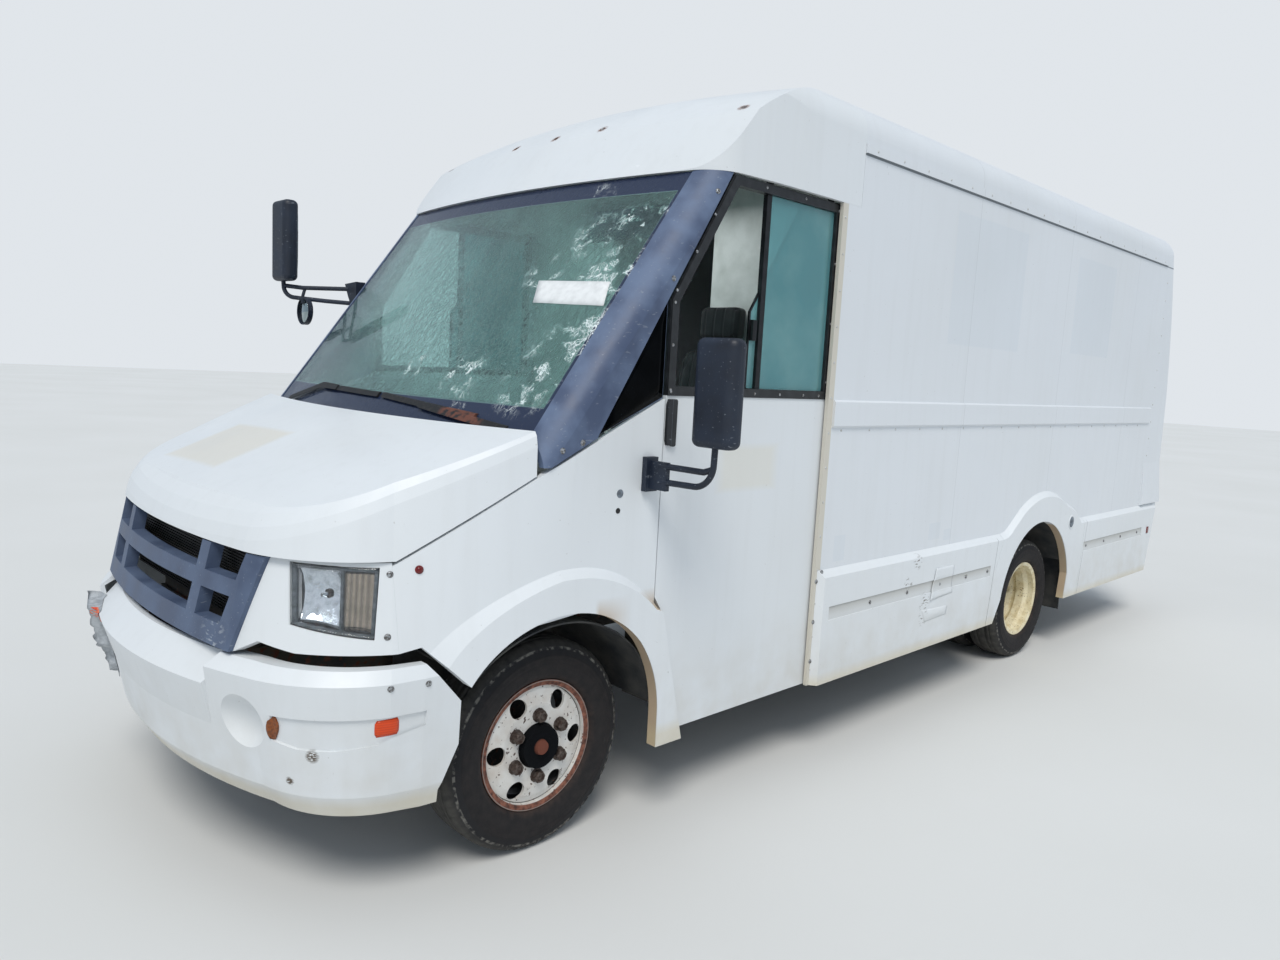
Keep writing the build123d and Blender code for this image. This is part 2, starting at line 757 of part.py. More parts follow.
plate_view = [(firewall_front + 1, 1385), (firewall_front + 1, cowl_top - 2), (hinge_station - 12, cowl_top - 2),
              (hinge_station - 14, hinge_height - 14), (hinge_station, hinge_height - 16)]
for side in (-1, 1):
    span = sorted((side * slot[0], side * slot[1]))
    cab_floor -= block(span, (-400, firewall_front - seat_gap), (cowl_top - 60, cowl_top + 5))
    for x in (slot[0] - 10, slot[1]):
        cab_floor += side_prism(plate_view, *sorted((side * x, side * (x + 10))))
    cab_floor += arch_drum(hinge_station, hinge_height, hinge_pin, span[0] - 5, span[1] + 5)
keep("cab_floor", cab_floor)

# Step wells hung in the floor's cut-outs, open above and towards the doors
well = block((well_inner + seat_gap, floor_half), (well_front + seat_gap, well_rear - seat_gap), (well_low, floor_top))
well -= block((well_inner + sheet, floor_half + 1), (well_front + sheet, well_rear - sheet),
              (well_low + sheet, floor_top + 1))
keep("step_wells", both_sides(well))

# Engine cover in the cab, a bolted box round the back of the engine
cover_front = firewall_rear + seat_gap
engine_cover = block((-cover_half - sheet, cover_half + sheet), (cover_front, cover_rear + sheet),
                     (floor_top + seat_gap, cover_top + sheet))
engine_cover -= block((-cover_half, cover_half), (cover_front - 1, cover_rear), (floor_low, cover_top))
keep("engine_cover", engine_cover)

# Load floor on cross sills, cut round the rear wheel housings, with a raised deck sheet along its middle
deck_top = floor_top + 3
frame_inner_rear = 5795.0
housing_radius = 520.0
housing_wall = 8.0
housing_inner = 560.0
housing_station = 3778.0
housing_height = 394.0
load_floor = block((-floor_half, floor_half), (bulkhead_front + seat_gap, frame_inner_rear), (floor_low, floor_top))
pocket_rear = box_front + pocket_depth + 20
load_floor += block((-box_half + box_wall, box_half - box_wall), (pocket_rear, frame_inner_rear),
                    (floor_low, floor_top))
for station in (1700, 2200, 2800, 4600, 5200, 5700):
    load_floor += block((-rail_x - 60, rail_x + 60), (station, station + 60), (rail_top + seat_gap, floor_low))
    for side in (-1, 1):
        tip = sorted((side * rail_x, side * (floor_half - 20)))
        load_floor += block(tip, (station, station + 60), (rail_top + seat_gap - 40, floor_low))
for side in (-1, 1):
    span = sorted((side * housing_inner, side * 1200))
    load_floor -= arch_drum(housing_station, housing_height, housing_radius + housing_wall + seat_gap, *span)
load_floor += block((-540, 540), (1480, 5780), (floor_top - 1, deck_top))
keep("load_floor", load_floor)

# Wheel liners: arched sheets over the front wheels, the rear wheel housings and the mud flaps
liner_wall = 6.0
liner_inner = 515.0
liners = []
for side in (-1, 1):
    span = sorted((side * liner_inner, side * 1200))
    arch = arch_drum(0, tyre_radius, liner_radius + liner_wall, *span)
    hollow = sorted((side * (liner_inner + liner_wall), side * 1201))
    arch -= arch_drum(0, tyre_radius, liner_radius, *hollow)
    arch -= block((-1300, 1300), (-700, 700), (-200, 470))
    arch -= block((-1300, 1300), (-700, -330), (400, 720))
    liners.append(arch & nose_form(nose_wall + seat_gap))
    span = sorted((side * housing_inner, side * (box_half - box_wall - seat_gap)))
    hollow = sorted((side * (housing_inner + housing_wall), side * (box_half + 100)))
    arch = arch_drum(housing_station, housing_height, housing_radius + housing_wall, *span)
    arch -= arch_drum(housing_station, housing_height, housing_radius, *hollow)
    arch -= block((-1300, 1300), (wheelbase - 800, wheelbase + 700), (-300, 600))
    notch = sorted((side * (housing_inner - 1), side * (housing_inner + housing_wall + 1)))
    arch -= block(notch, (wheelbase - 420, wheelbase + 420), (500, floor_low))
    liners.append(arch)
    liners.append(block(sorted((side * 600, side * 1085)), (4330, 4338), (250, floor_low - seat_gap)))
keep("wheel_liners", Compound(children=liners))

# Bulkhead behind the cab with its doorway, the inner walls of the door pockets and the doors' runners
runner_front = 880.0
runner_level = 2466.0
runner_sheet = 4.0
bulkhead_wall = 25.0
pocket_sheet = 8.0
doorway_half = 350.0
doorway_top = 2440.0
bulkhead_rear = bulkhead_front + seat_gap + bulkhead_wall
bulkhead = roof_form(roof_wall + seat_gap, floor_top + seat_gap, bulkhead_front + seat_gap, bulkhead_rear)
bulkhead &= block((-floor_half, floor_half), (1400, 1500), (0, 3000))
bulkhead -= block((-doorway_half, doorway_half), (1400, 1500), (floor_top - 10, doorway_top))
for side in (-1, 1):
    span = sorted((side * (floor_half - pocket_sheet), side * floor_half))
    bulkhead += block(span, (bulkhead_front + seat_gap, pocket_rear), (floor_top + seat_gap, 2520))
    web = sorted((side * (floor_half - runner_sheet), side * floor_half))
    bulkhead += block(web, (runner_front, pocket_rear), (runner_level - runner_sheet, 2500))
    flange = sorted((side * (floor_half - runner_sheet), side * (floor_half + 11)))
    bulkhead += block(flange, (runner_front, pocket_rear), (runner_level - runner_sheet, runner_level))
keep("bulkhead", bulkhead)

# Load box side: flat wall with its moulding, gutter and front corner post
wall_inner = box_half - box_wall
wall_edge = [
    (box_front, skirt_low), (skirt_front, skirt_low), (skirt_front, floor_low), (box_rear, floor_low),
    (box_rear, gutter_top), (cap_rear + 2, gutter_top), (cap_rear + 2, cab_top - seat_gap),
    (box_front, cab_top - seat_gap),
]
box_side = side_prism(wall_edge, wall_inner, box_half)
moulding = block((box_half - 1, box_half + moulding_proud), (skirt_front, box_rear - 3),
                 (moulding_low, moulding_top))
moulding = chamfer(moulding.edges().filter_by(Axis.Y).group_by(Axis.X)[-1], 8)
gutter = block((box_half - 1, box_half + 9), (cap_rear + 2, box_rear - 3), (gutter_low, gutter_top))
box_side += moulding + gutter


def station_arc(start, middle, end):
    """Arc in the side view through three (station, height) places."""
    return ThreePointArc(*[(at(station), z) for station, z in (start, middle, end)])


# Rear wheel arch: a bow with a splayed foot at the front and an upright one at the rear
arch_front = (3262, 482)
arch_crown = (3787, 905)
arch_rear = (4262, 519)
arch_toe = (3183, skirt_low)
arch_heel = (4241, skirt_low)


def arch_opening(grow, inner, outer):
    """Solid through the rear wheel arch, grown all round."""
    with BuildPart() as hole:
        with BuildSketch(Plane.YZ.offset(inner)):
            with BuildLine():
                bow = station_arc(arch_front, arch_crown, arch_rear)
                Polyline(bow @ 1, (at(arch_heel[0]), skirt_low), (at(arch_heel[0]), skirt_low - 60),
                         (at(arch_toe[0]), skirt_low - 60), (at(arch_toe[0]), skirt_low), bow @ 0)
            make_face()
            if grow:
                offset(amount=grow, mode=Mode.REPLACE)
        extrude(amount=outer - inner)
    return hole.part


box_side -= arch_opening(skirt_wall + seat_gap, wall_inner - 10, box_half + 10)
keep("box_sides", both_sides(box_side))

# Skirts below the box sides. Each is a front length, a flare over the rear wheel and a rear length,
# with a sloping ledge along the top. The crest is the ledge's outer line.
ledge = 31.0
skirt_crest = 843.0
seam_gap = 3.0
skirt_inner = box_half + seat_gap


def skirt_outline(x, rise, forward):
    """Side view of the whole skirt on one x plane, its top raised and its ends moved out."""
    with BuildSketch(Plane.YZ.offset(x)) as face:
        with BuildLine():
            front = (skirt_front - forward, skirt_crest + rise)
            Polyline((at(skirt_rear - 110 + forward), skirt_low), (at(skirt_front - forward), skirt_low),
                     (at(front[0]), front[1]), (at(3224), skirt_crest + rise))
            station_arc((3224, skirt_crest + rise), (3300, 857 + rise), (3360, 893 + rise))
            Line((at(3360), 893 + rise), (at(3477), 971 + rise))
            station_arc((3477, 971 + rise), (3813, 1060 + rise), (4149, 976 + rise))
            Polyline((at(4149), 976 + rise), (at(4318), 922 + rise), (at(4425), skirt_crest + rise),
                     (at(skirt_rear + forward), skirt_crest + rise), (at(skirt_rear - 110 + forward), skirt_low))
        make_face()
    return face.sketch


skirt = loft(sections=[skirt_outline(skirt_inner, ledge, 22), skirt_outline(skirt_x, 0, 0)], ruled=True)
hollow_face = offset(skirt_outline(skirt_inner, 0, 0).faces()[0], amount=-skirt_wall)
skirt -= extrude(hollow_face, amount=skirt_x - skirt_wall - skirt_inner, dir=(1, 0, 0))
skirt -= arch_opening(skirt_wall, skirt_inner - 10, skirt_x + 10)
return_lip = arch_opening(skirt_wall + 0.05, wall_inner, skirt_x) - arch_opening(0, wall_inner - 10, skirt_x + 10)
return_lip &= block((wall_inner, skirt_x + 1), (3000, 4500), (skirt_low, 1100))
skirt += return_lip
# Columns: front and rear station of a pressed groove
for front, rear in ((skirt_front + 48, 3090), (4500, box_rear + 40)):
    skirt -= block((skirt_x - 5, skirt_x + 5), (front, rear), (groove_low, groove_top))
# Columns: the seam's station at the bottom, half way and at the top
for low, middle, high in ((3086, 3142, 3225), (4434, 4480, 4482)):
    seam = [(low, 300), (middle, 641), (high, 832), (high, 1200)]
    strip = seam + [(station + seam_gap, z) for station, z in reversed(seam)]
    skirt -= side_prism(strip, skirt_inner - 10, skirt_x + 10)
keep("skirts", both_sides(skirt))

# Roof of the load box
roof = roof_form(0, gutter_top + seat_gap, cap_rear + seat_gap, box_rear)
roof -= roof_form(roof_wall, gutter_top - 1, cap_rear - 1, box_rear + 1)
keep("roof", roof)

# Moulded cap over the cab
roof_cap = cap_form(0) - cap_form(cap_wall)
roof_cap &= block((-1300, 1300), (0, cap_rear), (cab_top, 3100))
roof_cap += block((-1092, 1092), (cap_rear - 40, cap_rear), (2600, 2870)) & (
    cap_form(cap_wall - 1) - roof_form(60, 2500, 1400, 1600))
# Open holes of the five marker lamps. Columns: x, station, height of each.
marker_holes = [(0, 719, 2725), (308, 728, 2724), (-308, 728, 2724), (1015, 811, 2728), (-1015, 811, 2728)]
marker_radius = 14.0
for x, station, z in marker_holes:
    roof_cap -= Plane(origin=(x, at(station), z), z_dir=(0, -0.637, 0.771)) * Cylinder(marker_radius, 90)
keep("roof_cap", roof_cap)

# Rear frame: posts and header round the doorway, their rear edge swept forward towards the roof
doorway_x = 940.0
doorway_high = 2500.0
# Columns: station, height down the rear edge
rear_edge = [(5652, 2935), (5738, 2862), (5775, 2756), (5864, 2451), (5966, 2001), (6011, 1691), (6066, 750)]
with BuildPart() as rear_cut:
    with BuildSketch(Plane.YZ.offset(-1300)):
        with BuildLine():
            station_arc(*rear_edge[0:3])
            Line((at(rear_edge[2][0]), rear_edge[2][1]), (at(rear_edge[3][0]), rear_edge[3][1]))
            station_arc(*rear_edge[3:6])
            foot = [(at(station), z) for station, z in rear_edge[5:7]]
            Polyline(*foot, (foot[1][0], 100), (at(6400), 100), (at(6400), 3200),
                     (at(rear_edge[0][0]), 3200), (at(rear_edge[0][0]), rear_edge[0][1]))
        make_face()
    extrude(amount=2600)
rear_frame = roof_form(0, floor_low, box_rear + seat_gap, rear_edge[-1][0]) - rear_cut.part
rear_frame -= roof_form(roof_wall, floor_top, box_rear - 1, frame_inner_rear)
rear_frame -= block((-doorway_x, doorway_x), (box_rear - 1, 6300), (floor_top, doorway_high))
rear_frame -= block((-box_half - 1, box_half + 1), (box_rear - 1, frame_inner_rear + seat_gap),
                    (floor_low - 1, floor_top))
lamp_places = [(side * 1030, z) for side in (-1, 1) for z in (1080, 1210, 1340)]
lamp_radius = 54.0
with BuildPart() as lamp_pockets:
    with BuildSketch(Plane.XZ.offset(-at(6000))):
        with Locations(*lamp_places):
            Circle(lamp_radius + 0.5)
    extrude(amount=-100)
rear_frame -= lamp_pockets.part
post_foot = [(box_half - 2, 700), (box_half - 2, 1200), (box_half, 1200), (skirt_x - 4, skirt_crest + ledge + 12),
             (box_half, skirt_crest + ledge + seat_gap)]
for side in (-1, 1):
    foot = [(side * x, z) for x, z in post_foot]
    rear_frame += front_prism(foot, box_rear + 3, rear_edge[-1][0]) - rear_cut.part
keep("rear_frame", rear_frame)

# Round tail lamps, three to a post
with BuildPart() as tail_lamps:
    with BuildSketch(Plane.XZ.offset(-at(6000 + seat_gap))):
        with Locations(*lamp_places):
            Circle(lamp_radius)
    extrude(amount=-50)
    fillet(tail_lamps.part.faces().filter_by(Axis.Y).group_by(Axis.Y)[-1].edges(), 10)
keep("tail_lamps", tail_lamps.part)

# Roll-up door of hinged slats, closed between the posts
slat_pitch = 278.0
rear_door = block((seat_gap - doorway_x, doorway_x - seat_gap), (5800, 5840),
                  (floor_top + seat_gap, doorway_high - seat_gap))
for step in range(1, 6):
    z = floor_top + step * slat_pitch
    rear_door -= block((-doorway_x, doorway_x), (5833, 5850), (z - 4, z + 4))
keep("rear_door", rear_door)

# Rear step bumper on its brackets
with BuildPart() as rear_bumper:
    add(block((-1000, 1000), (rail_rear + 20, rear_reach), (440, 500)))
    fillet(rear_bumper.part.edges().filter_by(Axis.Z).group_by(Axis.Y)[-1], 30)
    for side in (-1, 1):
        span = sorted((side * rail_inner, side * rail_x))
        add(block(span, (rail_rear + seat_gap, rail_rear + 40), (440, 700)))
keep("rear_bumper", rear_bumper.part)

# Hood: one moulded shell, split from the sides along a rising seam
seam_rear = (-103, 1380)
seam_front = (-596, 1098)
lip_height = 1110.0
hood_rear_side = -140.0
hood_rear_mid = -250.0
hood_shell = hood_form(0) - hood_form(hood_wall)
seam_slope = (seam_rear[1] - seam_front[1]) / (seam_rear[0] - seam_front[0])
seam_start = seam_front[0] + (lip_height - seam_front[1]) / seam_slope
hood_side_view = [(-1300, lip_height), (seam_start, lip_height), seam_rear, (-60, 1405), (-60, 1800), (-1300, 1800)]
with BuildPart() as hood_plan:
    with BuildSketch(Plane.XY.offset(900)):
        with BuildLine():
            back = ThreePointArc((-1040, at(hood_rear_side)), (0, at(hood_rear_mid)), (1040, at(hood_rear_side)))
            Polyline(back @ 1, (1200, at(hood_rear_side)), (1200, at(-1300)), (-1200, at(-1300)),
                     (-1200, at(hood_rear_side)), back @ 0)
        make_face()
    extrude(amount=900)
hood = hood_shell & side_prism(hood_side_view, -1300, 1300) & hood_plan.part
lug_view = [(-206, 1476), (-172, 1490), (-160, 1436), (-146, 1424), (-124, 1442), (-116, 1418), (-140, 1402),
            (-178, 1408)]
for side in (-1, 1):
    span = sorted((side * hinge_x[0], side * hinge_x[1]))
    hood += side_prism(lug_view, *span) + arch_drum(hinge_station, hinge_height, hinge_boss, *span)
    hood -= arch_drum(hinge_station, hinge_height, hinge_pin + shaft_gap, span[0] - 5, span[1] + 5)
keep("hood", hood)

# Cab side panel with the front wheel's flare, from the lamp panel back to the door
lamp_seam = -583.0
flare_proud = 22.0
flare_foot = [(432, 315), (570, 315), (434, 838)]
front_arch_low = (-374, 712)
front_arch_top = (-13, 894)
front_arch_bend = (326, 742)
front_panel_corner = (-515, 850)
# Top edge of the flare as two arcs through five places: in the panel, and of its ledge on two planes
flare_top = [(-480, 816), (-262, 957), (-3, 1043), (210, 1000), (402, 872)]
ledge_planes = [
    (1020, [(-504, 839), (-319, 1008), (-59, 1131), (193, 1112), (402, 947)]),
    (1118, [(-380, 718), (-239, 892), (-42, 993), (149, 979), (402, 840)]),
]
belt_front = seam_rear
belt_rear = (402, 1616)


def flare_outline(x, top):
    """Side view of the flare round the front wheel arch on one x plane."""
    with BuildSketch(Plane.YZ.offset(x)) as face:
        with BuildLine():
            station_arc(front_arch_low, front_arch_top, front_arch_bend)
            station_arc(front_arch_bend, (408, 590), (432, 440))
            foot = [(at(station), z) for station, z in [(432, 440)] + flare_foot]
            Polyline(*foot, (at(top[4][0]), top[4][1]))
            station_arc(top[4], top[3], top[2])
            station_arc(top[2], top[1], top[0])
            Line((at(top[0][0]), top[0][1]), (at(front_arch_low[0]), front_arch_low[1]))
        make_face()
    return face.sketch


panel_edge = [(lamp_seam, 838), (lamp_seam, 1100 - panel_gap), (belt_front[0] + 6, belt_front[1] - panel_gap),
              belt_rear, (402, 860), (200, 900), (-300, 850), (-480, 816), front_panel_corner]
nose_outer = nose_form(0)
nose_inner = nose_form(nose_wall)
flare_body = extrude(flare_outline(700, flare_top), amount=600)
flare_ledge = loft(sections=[flare_outline(x, top) for x, top in ledge_planes], ruled=True)
fender = (nose_outer - nose_inner) & (side_prism(panel_edge, 700, 1300) + flare_body)
fender += (nose_form(-flare_proud) - nose_form(1)) & flare_ledge
keep("fenders", both_sides(fender))

# Lamp panels, the headlamps they frame, and the grille between them
panel_low = [(636, 812), (720, 858), (830, 838), (1100, 838)]
lamp_corners = [(755, 1099), (941, 1092), (971, 880), (797, 917)]
lamp_panel = (nose_outer - nose_form(34)) & front_prism(
    panel_low + [(1100, lip_height - panel_gap), (698, lip_height - panel_gap)], -1200, lamp_seam - seat_gap)
lamp_frame = front_prism(lamp_corners, -1200, -596)
lamp_panel -= lamp_frame
keep("lamp_panels", both_sides(lamp_panel))
lamp_inset = [(755.4, 1098.6), (940.7, 1091.7), (970.6, 880.4), (797.3, 917.4)]
headlamp = (nose_form(3) - nose_form(70)) & front_prism(lamp_inset, -1200, -598)
keep("headlamps", both_sides(headlamp))

# Grille: outer frame open at the top, two upright bars and one cross bar
grille_low = 812.0
grille_top = lip_height - panel_gap
grille_frame = [(-635.5, grille_low), (635.5, grille_low), (697, grille_top), (-697, grille_top)]
grille_cells = [(-560, 880), (560, 880), (628, grille_top + 20), (-628, grille_top + 20)]
grille = (nose_form(-14) - nose_form(30)) & front_prism(grille_frame, -1300, -700)
openings = front_prism(grille_cells, -1300, -600)
for side in (-1, 1):
    bar = [(side * 335, 800), (side * 398, 800), (side * 420, 1200), (side * 362, 1200)]
    openings -= front_prism(bar, -1400, -500)
openings -= front_prism([(-800, 968), (800, 968), (800, 1020), (-800, 1020)], -1400, -500)
grille -= openings
keep("grille", grille)

# Front bumper. Columns: x, station, bearing of the normal, spread from bottom to crest.
bumper_line = [
    (0, -960, 0, 123),
    (350, -927, 11, 123),
    (700, -828, 22, 115),
    (880, -745, 45, 85),
    (975, -590, 62, 75),
    (1000, -500, 72, 55),
    (1012, -380, 78, 45),
]
# Columns: height, share of the spread
bumper_levels = [(330, 0.0), (400, 0.36), (560, 0.62), (707, 1.0), (790, 0.35)]
bumper_pods = [(330, 0.0), (400, 0.36), (560, 0.62), (762, 1.0), (800, 0.62)]
bumper_wall = 16.0


def bumper_form(levels, inset):
    """Solid inside the bumper's skin, drawn in by the inset."""
    with BuildPart() as form:
        for level, share in levels:
            places = []
            for x, station, bearing, spread in bumper_line:
                out = spread * share - inset
                turn = math.radians(bearing)
                places.append((x + out * math.sin(turn), at(station - out * math.cos(turn))))
            with BuildSketch(Plane.XY.offset(level)):
                with BuildLine():
                    other = [(-x, y) for x, y in places]
                    ThreePointArc(other[2], places[0], places[2])
                    ThreePointArc(places[2], places[3], places[4])
                    Polyline(*places[4:], *reversed(other[4:]))
                    ThreePointArc(other[4], other[3], other[2])
                make_face()
        loft(ruled=True)
    return form.part


pod_side = [(500, 320), (600, 900), (1300, 900), (1300, 320)]
bumper_outer = bumper_form(bumper_levels, 0)
bumper_inner = bumper_form([(z - 40 if share == 0.35 else z, share) for z, share in bumper_levels], bumper_wall)
pods_outer = bumper_form(bumper_pods, 0)
pods_inner = bumper_form([(z, share) for z, share in bumper_pods[:-1]] + [(788, 0.6)], bumper_wall)
pod_left = front_prism(pod_side, -1300, -200)
pods = pod_left + pod_left.mirror(Plane.YZ)
bumper = (bumper_outer - bumper_inner) - pods
bumper += (pods_outer - pods_inner) & pods
bumper -= bumper_form([(300, 0.0), (420, 0.0), (560, 0.12), (707, 0.34), (900, 0.34)], bumper_wall + 2)
end_cut = [(-512, 900), (-512, 809), (-345, 612), (-445, 375), (-440, 300), (100, 300), (100, 900)]
bumper -= side_prism(end_cut, -1300, 1300)
# Side groove running back from the round lamp recess, in the front view
groove_view = [(790, 572), (860, 555), (940, 555), (1005, 570), (1040, 612), (1047, 657), (800, 654)]
groove_depth = 9.0
groove = (bumper_form(bumper_pods, -1) - bumper_form(bumper_pods, groove_depth)) & front_prism(
    groove_view, -1300, -505)
bumper -= groove + groove.mirror(Plane.YZ)
dish_radius = 118.0
dish_place = (713, -992, 592)
for side in (-1, 1):
    span = sorted((side * rail_inner, side * rail_x))
    bumper += block(span, (-1060, rail_front - seat_gap), (590, 700)) & bumper_form(bumper_levels, 2)
    middle = Pos(side * dish_place[0], at(dish_place[1]), dish_place[2])
    bumper += (middle * Sphere(dish_radius + 10)) & pods_outer
    bumper -= middle * Sphere(dish_radius)
keep("bumper", bumper)

# Windscreen, black pillar covers and quarter windows
glass_inset = 3.0
glass_wall = 8.0
glass_low = 1462.0
glass_high = cab_top - 3


def screen_edge(z):
    """Half width of the windscreen at a height."""
    share = (z - 1499) / (2441 - 1499)
    return screen_edge_low + (screen_edge_high - screen_edge_low) * share


low_edge = screen_edge(glass_low)
high_edge = screen_edge(glass_high)
opening = [(-low_edge, glass_low), (low_edge, glass_low), (high_edge, glass_high), (-high_edge, glass_high)]
windscreen = screen_form(glass_inset) - screen_form(glass_inset + glass_wall)
windscreen &= front_prism(opening, -500, 1000)
keep("windscreen", windscreen)

pillar_skin = screen_form(0) - screen_form(pillar_wall)
pillar_view = [(-122, 1386), (belt_front[0] + 6, 1386), (96, 1480), (99, 1488), (705, cab_top - seat_gap),
               (300, cab_top - seat_gap), (-122, 1480)]
pillar_front = [(screen_edge(1380) + seat_gap, 1380), (high_edge + seat_gap, cab_top), (1200, cab_top),
                (1200, 1380)]
pillar = pillar_skin & side_prism(pillar_view, 800, 1200) & front_prism(pillar_front, -500, 1500)
quarter_view = [(100.7, 1490), (398, 1619), (398, 1964)]
quarter = (screen_form(4) - screen_form(pillar_wall)) & side_prism(quarter_view, 900, 1200)
keep("pillar_covers", both_sides(pillar, quarter))

# Sliding cab door: leaf, black window frame with handle, and glass
door_edge = [(569, door_low), (442, 842), (door_front, 888), (door_front, 1965),
             (705 + panel_gap, door_top), (door_rear, door_top), (door_rear, door_low)]
window_edge = [(door_front + 40, 1662), (door_front + 40, 1962), (735, 2412), (1372, 2412), (1372, 1662)]
frame_edge = [(door_front + 4, 1628), (door_front + 4, 1967), (708 + panel_gap, door_top - 6),
              (door_rear - 6, door_top - 6), (door_rear - 6, 1628)]
door_inner = door_x - door_leaf
frame_proud = 4.0
door = side_prism(door_edge, door_inner, door_x) - side_prism(window_edge, door_inner - 5, door_x + 5)
window_frame = side_prism(frame_edge, door_x - 1, door_x + frame_proud)
window_frame -= side_prism(window_edge, door_inner - 5, door_x + 10)
grip = block((door_x - 1, door_x + 13), (438, 460), (1445, 1616))
grip = fillet(grip.edges().filter_by(Axis.X), 9)
glass_edge = [(door_front + 40.3, 1662.3), (door_front + 40.3, 1961.8), (735.2, 2411.7), (1371.7, 2411.7),
              (1371.7, 1662.3)]
door_glass = side_prism(glass_edge, door_x - 18, door_x - 12)
door_set = door + window_frame + grip
# Two hangers whose rollers run on the rail behind the header
roller = 15.0
for station in (950, 1365):
    door_set += block((floor_half + 13, floor_half + 18), (station - 20, station + 20), (door_top - 12, 2498))
    door_set += arch_drum(station, runner_level + seat_gap + roller, roller, floor_half + 1, floor_half + 14)
keep("door_left", door_set)
keep("door_right", other_side(door_set))
keep("door_glass_left", door_glass)
keep("door_glass_right", other_side(door_glass))

# Mirrors. The left one stands on a bracket below the belt, the right one hangs from the pillar.
head_width = 180.0
head_depth = 80.0
head_x = mirror_reach - head_width / 2
arm_radius = 11.0


def tube(points, radius, bend):
    """Round bar along a bent line."""
    with BuildPart() as bar:
        with BuildLine():
            FilletPolyline(*points, radius=bend)
        start = Vector(*points[0])
        with BuildSketch(Plane(origin=start, z_dir=Vector(*points[1]) - start)):
            Circle(radius)
        sweep()
    return bar.part


def mirror_head(x, station, low, high):
    """Mirror head with rounded corners and a bowed back."""
    with BuildPart() as head:
        with BuildSketch(Plane.XY.offset(low)):
            with Locations((x, at(station))):
                RectangleRounded(head_width, head_depth, 34)
        extrude(amount=high - low)
        fillet(head.part.edges().filter_by(GeomType.LINE, reverse=True).group_by(Axis.Z)[0], 26)
        fillet(head.part.edges().filter_by(GeomType.LINE, reverse=True).group_by(Axis.Z)[-1], 26)
    return head.part


bracket_station = 335.0
left_head = mirror_head(head_x, 345, 1470, 1832)
left_base = block((1080, 1112), (bracket_station - 28, bracket_station + 28), (1290, 1412)) - nose_form(-seat_gap)
left_base += block((1100, 1190), (bracket_station - 9, bracket_station + 9), (1300, 1400))
left_arm = tube([(1150, at(bracket_station), 1330), (head_x, at(340), 1334), (head_x, at(345), 1490)],
                arm_radius, 80)
left_stay = tube([(1150, at(bracket_station), 1386), (head_x - 40, at(340), 1386), (head_x, at(343), 1400)],
                 arm_radius, 20)
left_mirror = left_head + left_base + left_arm + left_stay

right_head = mirror_head(-head_x, 70, 2070, 2475)
right_base = front_prism([(-1060, 2080), (-1185, 2072), (-1150, 2010), (-1112, 1955), (-1060, 1955)], 300, 350)
right_base -= screen_form(-seat_gap)
right_arm = tube([(-1125, at(322), 1972), (-1240, at(222), 1978), (-1400, at(72), 1992), (-1410, at(70), 2090)],
                 arm_radius, 60)
right_stay = tube([(-1150, at(315), 2046), (-1330, at(140), 2040), (-1408, at(72), 2048)], arm_radius, 30)
spot = Pos(-1325, at(152), 1921) * (Rot(90, 0, 0) * Cylinder(70, 22))
spot += tube([(-1325, at(138), 1960), (-1325, at(138), 2000), (-1325, at(150), 2040)], 8, 12)
right_mirror = right_head + right_base + right_arm + right_stay + spot
keep("mirrors", Compound(children=[left_mirror, right_mirror]))

# Wiper arms and blades lying on the glass. Columns: the corners of a strip in the front view.
blade_skin = screen_form(-9) - screen_form(glass_inset - seat_gap)
arm_skin = screen_form(-14) - screen_form(-8.8)
blade_strips = [
    [(90, 1555), (90, 1573), (705, 1534), (705, 1516)],
    [(-500, 1563), (-500, 1581), (60, 1572), (60, 1554)],
]
arm_strips = [
    [(380, 1534), (380, 1556), (890, 1506), (890, 1484)],
    [(-800, 1486), (-800, 1508), (-490, 1586), (-320, 1582), (-320, 1562), (-480, 1562)],
]
wiper_set = []
for blade_strip, arm_strip in zip(blade_strips, arm_strips):
    blade = blade_skin & front_prism(blade_strip, -700, 400)
    wiper_set.append(blade + (arm_skin & front_prism(arm_strip, -700, 400)))
keep("wipers", Compound(children=wiper_set))

# Instrument panel with the steering column
wheel_centre = (480, 540, 1340)
column_tilt = 20.0
column_axis = Vector(0, math.cos(math.radians(column_tilt)), math.sin(math.radians(column_tilt)))
panel_view = [
    (firewall_rear + seat_gap, cover_top + sheet + seat_gap), (firewall_rear + seat_gap, cowl_top + seat_gap),
    (-190, cowl_top + seat_gap), (-190, 1466), (-110, 1482), (250, 1482), (340, 1450), (330, 1310),
    (230, cover_top + sheet + seat_gap),
]
dash = side_prism(panel_view, -1040, 1040) & (screen_form(pillar_wall + 1) + below_screen)
dash = dash & nose_form(nose_wall + 1) & hood_form(hood_wall + 2)
column_end = Vector(wheel_centre[0], at(wheel_centre[1]), wheel_centre[2])
column_plane = Plane(origin=column_end - column_axis * 320, z_dir=column_axis)
with BuildPart() as column:
    with BuildSketch(column_plane):
        Circle(34)
    extrude(amount=300)
